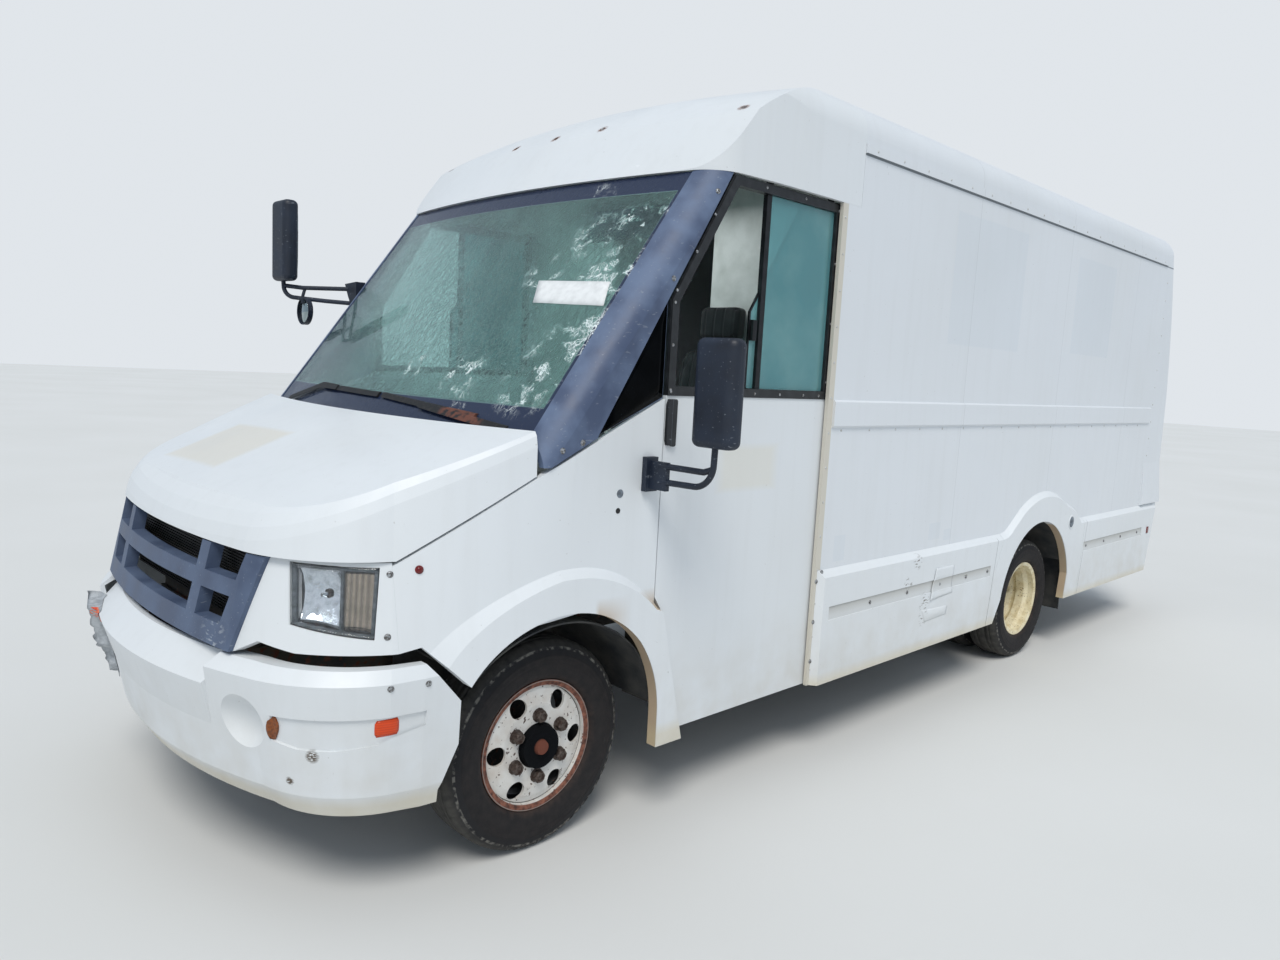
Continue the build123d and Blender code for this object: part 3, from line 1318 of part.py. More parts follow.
# Steering wheel: rim, three spokes and boss
with BuildPart() as steering_wheel:
    wheel_face = Plane(origin=column_end, x_dir=(1, 0, 0), z_dir=column_axis)
    with BuildSketch(Plane(origin=column_end, x_dir=(1, 0, 0), z_dir=wheel_face.y_dir)):
        with Locations((205, 0)):
            Circle(13)
    revolve(axis=Axis(column_end, column_axis))
    with BuildSketch(wheel_face.offset(-22)):
        Circle(48)
    extrude(amount=32)
    with BuildSketch(wheel_face.offset(-6)):
        with PolarLocations(115, 3, start_angle=90):
            Rectangle(175, 26)
    extrude(amount=12)
keep("dashboard", dash + column.part + steering_wheel.part)

# Driver's seat: pedestal, cushion and back
seat_x = 480.0
pedestal = block((seat_x - 170, seat_x + 170), (900, 1260), (floor_top + seat_gap, 1075))
cushion = block((seat_x - 245, seat_x + 245), (840, 1330), (1075, 1190))
cushion = fillet(cushion.edges(), 40)
back = side_prism([(1262, 1150), (1375, 1150), (1428, 1850), (1330, 1850)], seat_x - 235, seat_x + 235)
back = fillet(back.edges().filter_by(Axis.X), 35)
rest = block((seat_x - 130, seat_x + 130), (1352, 1428), (1870, 2030))
rest = fillet(rest.edges(), 25)
stalks = block((seat_x - 40, seat_x + 40), (1380, 1395), (1840, 1880))
keep("driver_seat", pedestal + cushion + back + rest + stalks)
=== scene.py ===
import bmesh
import bpy
import math
import random
from mathutils import Matrix, Vector


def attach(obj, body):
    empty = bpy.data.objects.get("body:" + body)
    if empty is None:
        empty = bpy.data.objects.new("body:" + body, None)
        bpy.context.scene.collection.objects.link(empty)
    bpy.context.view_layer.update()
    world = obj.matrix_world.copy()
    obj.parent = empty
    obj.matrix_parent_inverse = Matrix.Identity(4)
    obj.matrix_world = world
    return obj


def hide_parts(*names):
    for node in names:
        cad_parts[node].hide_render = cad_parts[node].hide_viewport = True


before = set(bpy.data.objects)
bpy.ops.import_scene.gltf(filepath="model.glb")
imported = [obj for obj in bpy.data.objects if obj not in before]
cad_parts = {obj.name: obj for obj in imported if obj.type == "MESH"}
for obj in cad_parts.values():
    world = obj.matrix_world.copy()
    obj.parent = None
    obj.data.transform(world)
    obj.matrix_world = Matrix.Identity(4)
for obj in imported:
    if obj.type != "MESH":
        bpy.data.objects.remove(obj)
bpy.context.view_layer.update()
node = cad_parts

# Chassis: pressed steel rails, forged axles, leaf springs and a block of engine, all hung below
# the floors. Everything was brushed with black chassis enamel once and has since taken road dust
# and rust. The exhaust is bare aluminised steel, and the castings are painted with the rest.


def colour(code):
    """Linear colour of an sRGB hex value."""
    parts = [int(code[i:i + 2], 16) / 255 for i in (1, 3, 5)]
    return [p / 12.92 if p <= 0.04045 else ((p + 0.055) / 1.055) ** 2.4 for p in parts] + [1.0]


def put(beside, kind, inputs=None, **properties):
    """Adds one node to the tree of a node or socket. An input takes a hex colour, a value or an output."""
    tree = beside.id_data
    made = tree.nodes.new(kind)
    for name, value in properties.items():
        setattr(made, name, value)
    for key, value in (inputs or {}).items():
        if isinstance(value, bpy.types.NodeSocket):
            tree.links.new(value, made.inputs[key])
        else:
            made.inputs[key].default_value = colour(value) if str(value).startswith("#") else value
    return made


def new_finish(name, **constants):
    """Material with constants on its shader; gives the material, the shader and the object coordinates."""
    made = bpy.data.materials.new(name)
    made.use_nodes = True
    shader = made.node_tree.nodes["Principled BSDF"]
    for socket, value in constants.items():
        shader.inputs[socket.replace("_", " ")].default_value = value
    return made, shader, put(shader, "ShaderNodeTexCoord").outputs["Object"]


def reckon(operation, first, *others):
    """Values taken together one after another by an arithmetic operation."""
    for other in others or (0.0,):
        first = put(first, "ShaderNodeMath", {0: first, 1: other}, operation=operation).outputs[0]
    return first


def meet(*masks):
    """Where all of the masks are; a number among them thins the others."""
    return reckon("MULTIPLY", *masks)


def fade(value, low, high, start=0.0, end=1.0):
    """Runs from start to end while a value goes from low to high, and holds outside."""
    return put(value, "ShaderNodeMapRange", {"Value": value, "From Min": low, "From Max": high,
                                             "To Min": start, "To Max": end}).outputs["Result"]


def grain(where, size, low, high, stretch=(1, 1, 1)):
    """Mask of noise with grains of a size in millimetres."""
    drawn = put(where, "ShaderNodeVectorMath", {0: where, 1: stretch}, operation="MULTIPLY").outputs[0]
    noise = put(where, "ShaderNodeTexNoise", {"Vector": drawn, "Scale": 1000 / size, "Detail": 4.0})
    return fade(noise.outputs["Fac"], low, high)


def coats(tone, *layers):
    """Colour with others laid over it in turn, each where its mask is."""
    for mask, upper in layers:
        tone = put(mask, "ShaderNodeMix", {0: mask, 6: tone, 7: upper}, data_type="RGBA").outputs[2]
    return tone


def feed(shader, **sockets):
    """Links sockets of the shader."""
    for name, value in sockets.items():
        shader.id_data.links.new(value, shader.inputs[name.replace("_", " ")])


def relief(shader, height, depth):
    """Bumps of a depth in millimetres."""
    bump = put(shader, "ShaderNodeBump", {"Height": height, "Distance": depth / 1000, "Strength": 1.0})
    feed(shader, Normal=bump.outputs["Normal"])


def clouded(name, tone, cloud, size, low=0.4, high=0.7, grit=0, depth=0.0, **constants):
    """Material of one tone clouded by another, with bumps of a grit size where its surface is rough."""
    made, shader, where = new_finish(name, **constants)
    feed(shader, Base_Color=coats(tone, (grain(where, size, low, high), cloud)))
    if grit:
        relief(shader, grain(where, grit, 0.3, 0.7), depth)
    return made


def paint(finish, *names):
    """Gives CAD nodes their finish."""
    for name in names:
        node[name].data.materials.clear()
        node[name].data.materials.append(finish)


# Brushed chassis enamel: near black, its gloss gone under dust, with rust where stones have hit it
enamel, shader, where = new_finish("chassis_enamel_brushed", Roughness=0.6)
dust = grain(where, 160, 0.42, 0.68)
feed(shader, Base_Color=coats("#1b1c1e", (dust, "#4b443b"), (grain(where, 22, 0.57, 0.66), "#5b3220")),
     Roughness=fade(dust, 0, 1, 0.5, 0.9))
relief(shader, grain(where, 9, 0.3, 0.7), 0.6)
# Aluminised steel: dull silver grey, browned in blotches by heat
heated = clouded("aluminised_steel_rolled", "#8d8a84", "#6a4a36", 60, 0.4, 0.65, 12, 0.4,
                 Metallic=0.85, Roughness=0.45)
paint(enamel, "frame_rails", "leaf_springs", "engine", "front_axle", "rear_axle", "knuckle_left",
      "knuckle_right", "track_rod", "fuel_tank", "radiator")
paint(heated, "exhaust")

# Tyres: vulcanised rubber on a steel belt, five worn ribs parted by four grooves, with small blocks
# moulded round the shoulders and thin rings on the sidewall. The twin rear tyres share a piece.
axle_to_middle = 2536
rear_axle = 3835
tyre_radius = 381.0
tyre_steps = 216
shoulder_notch = 4.0
# Columns: distance from the tyre's middle plane, radius
bead_to_tread = [
    (75.5, 223.5), (77.5, 237), (85, 240.5), (93, 247), (99, 258), (104, 275), (107, 292), (107.6, 300),
    (106.4, 303), (107.9, 306), (107.4, 312), (105.6, 323), (106.8, 325.5), (105, 328), (102.5, 341),
    (98.5, 350), (97.5, 352), (98.5, 354), (95, 361), (90, 367), (82, 373), (73, 377), (65, 379.5),
]
rib_line = [(60.5, 380), (59.5, 372), (54.5, 372), (53.5, 380.5), (32, 381), (31, 372.5), (25.5, 372.5),
            (24.5, 381), (8, 381)]
shoulder = range(17, 23)


def place(x, station, z):
    """Place in metres of an x, a station behind the front axle and a height in millimetres."""
    return Vector((x / 1000, (station - axle_to_middle) / 1000, z / 1000))


def tyre(middle, station, side):
    """Corners and faces of one tyre; its tread runs between two shoulders of moulded blocks."""
    half = [(x, r, index in shoulder) for index, (x, r) in enumerate(bead_to_tread + rib_line)]
    profile = half + [(-x, r, cut) for x, r, cut in reversed(half)]
    verts, faces, count = [], [], len(profile)
    for step in range(tyre_steps):
        turn = 2 * math.pi * step / tyre_steps
        for x, r, cut in profile:
            r -= shoulder_notch if cut and step % 4 == 0 else 0.0
            along, up = r * math.cos(turn), r * math.sin(turn)
            verts.append(place(side * middle + x, station + along, tyre_radius + up))
        row, after = step * count, (step + 1) % tyre_steps * count
        for i in range(count):
            j = (i + 1) % count
            faces.append((row + i, row + j, after + j, after + i))
    return verts, faces


def outward(verts, faces):
    """Mesh with its faces turned outwards."""
    mesh = bpy.data.meshes.new("shape")
    mesh.from_pydata(verts, [], faces)
    mesh.validate()
    work = bmesh.new()
    work.from_mesh(mesh)
    bmesh.ops.remove_doubles(work, verts=work.verts, dist=1e-6)
    bmesh.ops.recalc_face_normals(work, faces=work.faces)
    work.to_mesh(mesh)
    work.free()
    return mesh


def dressed(mesh, name, body, finish, slot, smooth=True, stands_for=()):
    """A mesh as a piece of the truck, on its body and with its finish."""
    mesh.name = name
    mesh.materials.clear()
    mesh.materials.append(finish)
    mesh.polygons.foreach_set("use_smooth", [smooth] * len(mesh.polygons))
    made = bpy.data.objects.new(name, mesh)
    bpy.context.scene.collection.objects.link(made)
    if body:
        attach(made, body)
    if stands_for:
        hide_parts(*stands_for)
    return made


def piece(name, verts, faces, *rest, **more):
    """One finished piece from its corners and faces; what follows them is as for dressed."""
    return dressed(outward(verts, faces), name, *rest, **more)


def wheel_radius(where, station):
    """Distance from an axle's line."""
    off = where
    for operation, other in (("SUBTRACT", place(0, station, tyre_radius)), ("MULTIPLY", (0, 1, 1))):
        off = put(where, "ShaderNodeVectorMath", {0: off, 1: other}, operation=operation).outputs[0]
    return put(where, "ShaderNodeVectorMath", {0: off}, operation="LENGTH").outputs["Value"]


def band(value, low, high, soft):
    """1 between two values, fading out over a soft length."""
    return meet(fade(value, low - soft, low), fade(value, high, high + soft, 1, 0))


# Worn rubber: brown black, greyed with dust on the tread, rubbed lighter along the shoulders and
# browned by the rim
rubber, shader, where = new_finish("tyre_rubber_vulcanised", Roughness=0.85)
radius = reckon("MINIMUM", wheel_radius(where, 0), wheel_radius(where, rear_axle))
scuffs = grain(where, 30, 0.35, 0.7)
feed(shader, Base_Color=coats(
    "#141214", (scuffs, "#211d1d"),
    (meet(fade(radius, 0.326, 0.332), 0.5), "#15181d"),
    (meet(fade(radius, 0.352, 0.374), fade(scuffs, 0, 1, 0.45, 0.95)), "#4d4b46"),
    (meet(band(radius, 0.350, 0.356, 0.003), grain(where, 20, 0.45, 0.6)), "#6c6a64"),
    (meet(fade(radius, 0.262, 0.236), fade(scuffs, 0, 1, 0.1, 0.6)), "#45342c")))
relief(shader, grain(where, 5, 0.3, 0.7), 0.4)

front_middle, twin_outer, twin_inner = 866, 939, 689
for side, hand in ((1, "left"), (-1, "right")):
    piece("tyre_" + hand + "_front", *tyre(front_middle, 0, side), "wheel_front_" + hand, rubber, "tyre",
          stands_for=["tyre_front_" + hand])
    verts, faces = tyre(twin_outer, rear_axle, side)
    inner_verts, inner_faces = tyre(twin_inner, rear_axle, side)
    faces += [tuple(i + len(verts) for i in face) for face in inner_faces]
    piece("tyres_" + hand + "_rear", verts + inner_verts, faces, "wheels_rear_" + hand, rubber, "tyre",
          stands_for=["tyres_rear_" + hand])

# Wheels: pressed steel discs welded into rolled rims. The front ones are stoved white and rusted
# through at the rim, with a black iron hub; the rear ones are stoved cream. Six plated nuts hold each.


def either(*masks):
    """Where any of the masks is."""
    return reckon("MAXIMUM", *masks)


def turned(profile, steps, flats=()):
    """Corners and faces of a shape turned about z from (radius, height) pairs; rows in flats are hexagons."""
    verts, faces, rows = [], [], []
    sixth = math.pi / 3
    for index, (r, z) in enumerate(profile):
        if r == 0:
            rows.append([len(verts)])
            verts.append((0, 0, z / 1000))
            continue
        rows.append(list(range(len(verts), len(verts) + steps)))
        for step in range(steps):
            turn = 2 * math.pi * step / steps
            reach = r
            if index in flats:
                reach = r * math.cos(sixth / 2) / math.cos((turn + sixth / 2) % sixth - sixth / 2)
            verts.append((reach * math.cos(turn) / 1000, reach * math.sin(turn) / 1000, z / 1000))
    for lower, upper in zip(rows, rows[1:]):
        for step in range(steps):
            after = (step + 1) % steps
            if len(lower) == 1:
                faces.append((lower[0], upper[after], upper[step]))
            elif len(upper) == 1:
                faces.append((lower[step], lower[after], upper[0]))
            else:
                faces.append((lower[step], lower[after], upper[after], upper[step]))
    return verts, faces


def settle(made):
    """A piece's live result as its own plain mesh."""
    bpy.context.view_layer.update()
    graph = bpy.context.evaluated_depsgraph_get()
    mesh = bpy.data.meshes.new_from_object(made.evaluated_get(graph))
    made.modifiers.clear()
    return mesh


# Tree that sets a small shape on every seat, turned to face the way that the seat does
fixings = bpy.data.node_groups.new("fixings", "GeometryNodeTree")
ports = {}
for label, kind in (("Seats", "NodeSocketGeometry"), ("Shape", "NodeSocketObject"),
                    ("Size", "NodeSocketFloat"), ("Finish", "NodeSocketMaterial")):
    ports[label] = fixings.interface.new_socket(name=label, in_out="INPUT", socket_type=kind).identifier
fixings.interface.new_socket(name="Fixings", in_out="OUTPUT", socket_type="NodeSocketGeometry")
given = put(fixings, "NodeGroupInput").outputs
way = put(fixings, "GeometryNodeInputNamedAttribute", {"Name": "facing"}, data_type="FLOAT_VECTOR").outputs[0]
turn = put(fixings, "FunctionNodeAlignRotationToVector", {"Vector": way}, axis="Z").outputs[0]
small = put(fixings, "GeometryNodeObjectInfo", {"Object": given["Shape"], "As Instance": True}).outputs
copies = put(fixings, "GeometryNodeInstanceOnPoints", {"Points": given["Seats"], "Instance": small["Geometry"],
                                                       "Rotation": turn, "Scale": given["Size"]}).outputs[0]
real = put(fixings, "GeometryNodeRealizeInstances", {0: copies}).outputs[0]
done = put(fixings, "GeometryNodeSetMaterial", {0: real, "Material": given["Finish"]}).outputs[0]
put(fixings, "NodeGroupOutput", {0: done})


def repeat(name, seats, small, finish, body, slot, smooth=False):
    """Sets a small shape on seats, each a place and the way it faces, as one piece."""
    mesh = bpy.data.meshes.new(name)
    mesh.from_pydata([spot for spot, way in seats], [], [])
    facing = mesh.attributes.new("facing", "FLOAT_VECTOR", "POINT")
    facing.data.foreach_set("vector", [part for spot, way in seats for part in way])
    carrier = bpy.data.objects.new(name + "_seats", mesh)
    bpy.context.scene.collection.objects.link(carrier)
    shape = bpy.data.objects.new(name + "_shape", outward(*small))
    live = carrier.modifiers.new(name, "NODES")
    live.node_group = fixings
    for label, value in (("Shape", shape), ("Size", 1.0), ("Finish", finish)):
        live[ports[label]] = value
    result = settle(carrier)
    bpy.data.objects.remove(carrier)
    bpy.data.objects.remove(shape)
    return dressed(result, name, body, finish, slot, smooth)


# Stoved enamel on steel: chalky white, bled over by rust round the rim and in pin holes
white_wheel, shader, where = new_finish("stoved_enamel_white", Roughness=0.5)
x, y, z = put(where, "ShaderNodeSeparateXYZ", {0: where}).outputs
radius = wheel_radius(where, 0)
spots = grain(where, 14, 0.62, 0.68)
rusted = fade(reckon("ADD", radius, fade(spots, 0, 1, 0, 0.006)), 0.2135, 0.2165)
hub = fade(radius, 0.0835, 0.0815)
iron = coats("#4a2f28", (grain(where, 18, 0.35, 0.65), "#8c5a48"),
             (band(radius, 0.2325, 0.2345, 0.001), "#8a7f78"))
# Everything of the wheel nearer the truck's middle than 929 mm is painted near black: painted shade in the deep
# dish and behind the hand holes
feed(shader, Base_Color=coats(
    "#dcdad5", (meet(grain(where, 70, 0.45, 0.75), 0.5), "#b9a896"), (spots, "#4a3229"),
    (fade(reckon("ABSOLUTE", x), 0.931, 0.929), "#131416"), (rusted, iron), (hub, "#0e1013"),
    (fade(radius, 0.029, 0.026), "#6f4438")),
    Roughness=fade(either(rusted, hub), 0, 1, 0.42, 0.9), Specular_IOR_Level=fade(hub, 0, 1, 0.5, 0.1))
relief(shader, grain(where, 6, 0.4, 0.8), 0.3)
# The same enamel in cream, dusty, with a greasy black hub
cream_wheel, shader, where = new_finish("stoved_enamel_cream", Roughness=0.5)
feed(shader, Base_Color=coats(
    "#e9dfbf", (grain(where, 45, 0.42, 0.72), "#cbb98d"), (grain(where, 10, 0.63, 0.7), "#5b3d28"),
    (fade(wheel_radius(where, rear_axle), 0.098, 0.092), "#2b2825")))
relief(shader, grain(where, 8, 0.4, 0.8), 0.3)
paint(white_wheel, "rim_front_left", "rim_front_right")
paint(cream_wheel, "rims_rear_left", "rims_rear_right")
# Zinc plated steel, browned by age: a dull half shine in the thread and on the flats
plated = clouded("steel_zinc_plated", "#5d534d", "#43352f", 12, 0.4, 0.6, 4, 0.2, Metallic=0.6, Roughness=0.5)
wheel_nut = turned([(26, 0), (26, 5), (22.5, 7), (22.5, 26), (18, 30), (13, 30.5), (12, 27), (0, 27)], 12,
                   flats=(2, 3))
nut_circle = 111.0
for side, hand in ((1, "left"), (-1, "right")):
    for label, body, station, x in (("front", "wheel_front_", 0, 947),
                                    ("rear", "wheels_rear_", rear_axle, 822)):
        seats = []
        for turn in range(30, 390, 60):
            y = nut_circle * math.cos(math.radians(turn))
            z = nut_circle * math.sin(math.radians(turn))
            seats.append((place(side * x, station + y, tyre_radius + z), (side, 0, 0)))
        repeat("wheel_nuts_" + label + "_" + hand, seats, wheel_nut, plated, body + hand, "bare_metal")

# Load box, roof, rear frame and doors: aluminium sheet on aluminium posts, sprayed white in one
# coat. Where old stickers came off the paint is cleaner; the front corner posts have yellowed.
box_face, gutter_face, skirt_face, skirt_groove, door_face = 1113, 1122, 1144, 1139, 1087


def block_mask(where, middle, half, soft):
    """1 inside a block given by its middle and half sizes in metres, fading out inside its faces."""
    off = where
    for operation, other in (("SUBTRACT", middle), ("ABSOLUTE", (0, 0, 0)), ("DIVIDE", half)):
        off = put(where, "ShaderNodeVectorMath", {0: off, 1: other}, operation=operation).outputs[0]
    return fade(either(*put(where, "ShaderNodeSeparateXYZ", {0: off}).outputs), 1 - soft, 1, 1, 0)


def ball_mask(where, middle, inner, outer):
    """1 round a place, fading out from an inner to an outer radius in metres."""
    far = put(where, "ShaderNodeVectorMath", {0: where, 1: middle}, operation="DISTANCE").outputs["Value"]
    return fade(far, inner, outer, 1, 0)


def weathered(where, z, clean, aged):
    """White paint with cloudy ageing, fine run marks, specks and dust low down."""
    return coats(clean, (meet(grain(where, 900, 0.35, 0.7), 0.4), aged),
                 (meet(grain(where, 45, 0.5, 0.8, stretch=(1, 1, 0.06)), 0.05), "#9b978c"),
                 (meet(grain(where, 16, 0.72, 0.76), 0.3), "#8f8a80"),
                 (meet(fade(z, 0.75, 0.3), grain(where, 120, 0.3, 0.7), 0.3), "#b3a78f"))


# Sprayed paint on aluminium: white, satin, with a faint orange peel
sheet_paint, shader, where = new_finish("paint_sprayed_on_aluminium", Roughness=0.38)
x, y, z = put(where, "ShaderNodeSeparateXYZ", {0: where}).outputs
out = reckon("ABSOLUTE", x)
corner_post = meet(band(y, -1.160, -1.1145, 0.002), fade(z, 2.46, 2.45), 0.7)
tone = coats(weathered(where, z, "#dfe3e7", "#d6d9da"), (corner_post, "#c9bfa9"))
# Columns: station, height, half length, half height of a clean patch where a sticker was
for station, height, half, rise in ((2800, 2250, 420, 330), (4300, 2250, 330, 300), (1560, 960, 45, 60),
                                    (2440, 960, 60, 45), (2583, 930, 40, 30)):
    patch = block_mask(where, place(box_face, station, height), (0.05, half / 1000, rise / 1000), 0.03)
    tone = coats(tone, (meet(patch, 0.22), "#c9d3dc"))
# Joints between the side sheets, and the shadow line under the gutter
for station in (2620, 3840, 5060):
    joint = place(0, station, 0).y
    tone = coats(tone, (meet(band(y, joint, joint + 0.003, 0.001), 0.25), "#8d8f90"))
under_gutter = meet(band(z, 2.672, 2.680, 0.001), fade(out, 1.10, 1.105), fade(y, -1.05, -1.04))
feed(shader, Base_Color=coats(tone, (under_gutter, "#7f858a")),
     Roughness=fade(grain(where, 300, 0.3, 0.7), 0, 1, 0.3, 0.5))
relief(shader, grain(where, 4, 0.2, 0.8), 0.06)
paint(sheet_paint, "box_sides", "roof", "rear_frame", "rear_door")

# Rivets: 6 mm domed aluminium, set in the posts, the gutter and the moulding before the paint went on.
# They are painted over, and dulled where it has worn off their crowns
rivet = turned([(0, -1), (6, -1), (6, 0.4), (4.6, 2), (2.4, 3), (0, 3.3)], 8)
dull_rivet = clouded("rivet_aluminium_painted", "#d3d5d5", "#b5b4ae", 9, 0.4, 0.6, Metallic=0.2,
                     Roughness=0.55)
# Columns: x, first station, step along, first height, step up, count
seats = [(place(side * x, station + along * step, height + up * step), (side, 0, 0)) for side in (-1, 1)
         for x, station, along, height, up, count in
         ((box_face, 1404, 0, 420, 152, 14), (gutter_face, 1600, 220, 2699, 0, 19),
          (box_face, 5700, 0, 1260, 130, 11), (box_face, 1500, 230, 1495, 0, 18)) for step in range(count)]
repeat("box_rivets", seats, rivet, dull_rivet, "chassis", "white_paint")

# Skirts, cab sides, lamp panels, hood, roof cap and bumper: polyester reinforced with glass fibre,
# laid up in moulds and sprayed white. Their cut edges and returns have yellowed to a straw brown.
# The paint is a satin white with cloudy ageing, scuffs, rust runs and a faint orange peel
moulded_paint, shader, where = new_finish("paint_sprayed_on_glass_fibre", Roughness=0.4)
x, y, z = put(where, "ShaderNodeSeparateXYZ", {0: where}).outputs
out = reckon("ABSOLUTE", x)
# Returns of the front wheel arch and the rear one, and the foot of the bumper and skirts
front_arch = meet(band(x, 1.02, 1.1085, 0.002), band(y, place(0, 120, 0).y, place(0, 440, 0).y, 0.02))
rear_arch = meet(band(x, 1.02, 1.1395, 0.001), band(y, 1.42, 1.86, 0.02))
returns = meet(either(front_arch, rear_arch), fade(z, 0.93, 0.86), 0.75)
tone = coats(weathered(where, z, "#e1e5e8", "#d9dbda"), (returns, "#b08f5e"),
             (meet(fade(z, 0.405, 0.36), 0.45), "#cfc19d"))
# Rust washed down from the open lamp holes in the cap. Columns: x, station, height
for hole in ((0, 719, 2725), (308, 728, 2724), (-308, 728, 2724), (1015, 811, 2728), (-1015, 811, 2728)):
    mark = ball_mask(where, place(*hole), 0.016, 0.030)
    tone = coats(tone, (meet(mark, grain(where, 12, 0.3, 0.6)), "#7a4a30"))
# Old sticker's yellowed patch on the hood
patch = block_mask(where, place(-296, -610, 1340), (0.29, 0.155, 0.12), 0.16)
tone = coats(tone, (meet(patch, 0.42), "#d8cdb4"))
# Short dark scuffs on the bumper. Columns: x, station, height, radius in metres
for bx, station, height, size in ((896, -798, 536, 0.024), (824, -833, 445, 0.016), (1029, -594, 700, 0.006)):
    mark = ball_mask(where, place(bx, station, height), size * 0.5, size)
    tone = coats(tone, (meet(mark, grain(where, 12, 0.42, 0.48, (1, 1, 3))), "#5e5348"))
# Grime along the groove of the damaged skirt. Columns: station, height, radius in metres
for station, height, size in ((2165, 720, 0.05), (2240, 826, 0.05), (2345, 600, 0.06), (2340, 520, 0.05),
                              (2796, 690, 0.03)):
    mark = ball_mask(where, place(skirt_face, station, height), size * 0.2, size)
    tone = coats(tone, (meet(mark, grain(where, 11, 0.54, 0.6, (1, 0.3, 1))), "#6b655d"))
# Shade in the skirts' long grooves, darker towards the top
groove = meet(band(z, 0.645, 0.704, 0.002), fade(out, 1.130, 1.132),
              either(band(y, -1.064, 0.553, 0.002), band(y, 1.966, 3.153, 0.002)))
tone = coats(tone, (meet(groove, fade(z, 0.66, 0.705, 0.25, 0.75)), "#a8a69e"))
# Seams of the skirt's sections, leaning a little with the mould joint
lean = reckon("ADD", y, reckon("MULTIPLY", z, -0.13))
for seam in (0.511, 1.885):
    line = meet(band(lean, seam, seam + 0.003, 0.001), fade(z, 0.86, 0.85), fade(out, 1.115, 1.12), 0.7)
    tone = coats(tone, (line, "#5c5e60"))
feed(shader, Base_Color=tone, Roughness=fade(grain(where, 240, 0.3, 0.7), 0, 1, 0.3, 0.52))
relief(shader, grain(where, 5, 0.2, 0.8), 0.08)
paint(moulded_paint, "skirts", "fenders", "lamp_panels", "hood", "roof_cap", "bumper")

# Doors: an aluminium leaf in the same white that slides on rails, with a window frame riveted on.
# The paint is the same satin white, and the frame and grip are black anodised with a soft shine
door_paint, shader, where = new_finish("paint_sprayed_on_door", Roughness=0.36)
x, y, z = put(where, "ShaderNodeSeparateXYZ", {0: where}).outputs
patch = block_mask(where, place(door_face, 900, 1350), (0.3, 0.2, 0.1), 0.3)
black = either(fade(reckon("ABSOLUTE", x), 1.0873, 1.0877), fade(z, 1.6285, 1.6290))
feed(shader, Base_Color=coats(
    weathered(where, z, "#dfe3e6", "#d7d9d8"), (meet(patch, 0.35), "#ddd6c0"),
    (black, coats("#15171a", (grain(where, 40, 0.4, 0.7), "#26282b")))),
    Roughness=fade(black, 0, 1, 0.36, 0.42))
relief(shader, grain(where, 4, 0.2, 0.8), 0.06)
paint(door_paint, "door_left", "door_right")

# Screws: stainless pan heads with a small socket, driven into posts, panels, covers and window frames.
# The door frames have small ones, 12 mm across, and the panels and skirts ones of 21 mm
screw = turned([(0, -2), (10.5, -2), (10.5, 1.0), (8, 1.4), (7.6, 3.4), (5.4, 4.8), (2.6, 5.0), (2.2, 3.6),
                (0, 3.4)], 14)
small_screw = turned([(0, -1.5), (5.8, -1.5), (5.8, 0.8), (4.2, 2.2), (2, 2.8), (0, 2.9)], 10)
beside_truck = 1300


def skin(name, start, heading):
    """Where a ray meets a CAD node, and the way the node faces there."""
    hit, spot, normal, face = node[name].ray_cast(start, Vector(heading).normalized())
    if not hit:
        raise ValueError("no " + name + " at " + str(start))
    return spot, (-normal if normal.dot(Vector(heading)) > 0 else normal)


def beside(name, side, station, z):
    """Seat on a CAD node seen from one side of the truck."""
    return skin(name, place(side * beside_truck, station, z), (-side, 0, 0))


# Stainless steel: bright, with dirt held in the socket and round the head
bright = clouded("steel_stainless_screw", "#b4b7ba", "#5f5a55", 7, 0.4, 0.62, 3, 0.15, Metallic=0.7,
                 Roughness=0.4)
# Columns: station, height on the door's window frame
frame_screws = ((433, 2001), (427, 1958), (427, 1808), (427, 1650), (430, 1643), (600, 1643), (750, 1643),
                (906, 1643), (1068, 1643), (1229, 1643), (1340, 1643), (523, 2145), (610, 2288), (897, 2432),
                (1150, 2432), (1388, 1700), (1388, 1950), (1388, 2200), (1388, 2420))
# Columns: CAD node, station, height of a screw driven in from the side
side_screws = (("pillar_covers", 628, 2374), ("pillar_covers", 417, 2040), ("pillar_covers", 31, 1466),
               ("pillar_covers", -53, 1441), ("lamp_panels", -591, 1072), ("lamp_panels", -611, 890),
               ("bumper", -626, 749), ("bumper", -507, 744))
# Columns: x, station, height on the flat skirt and the corner post
flat_screws = [(skirt_groove, station, 676) for station in
               (1467, 1821, 2165, 2500, 2796, 3060, 4560, 4900, 5240, 5600)]
flat_screws += [(gutter_face, 1424, 866), (box_face, 1400, 825), (box_face, 1400, 641), (box_face, 1400, 460)]
body_seats = []
for side, hand in ((-1, "right"), (1, "left")):
    seats = [(place(side * 1091, station, z), (side, 0, 0)) for station, z in frame_screws]
    repeat("frame_screws_" + hand, seats, small_screw, bright, "cab_door_" + hand, "bare_metal")
    body_seats += [beside(name, side, station, z) for name, station, z in side_screws]
    body_seats += [(place(side * x, station, z), (side, 0, 0)) for x, station, z in flat_screws]
repeat("body_screws", body_seats, screw, bright, "chassis", "bare_metal")

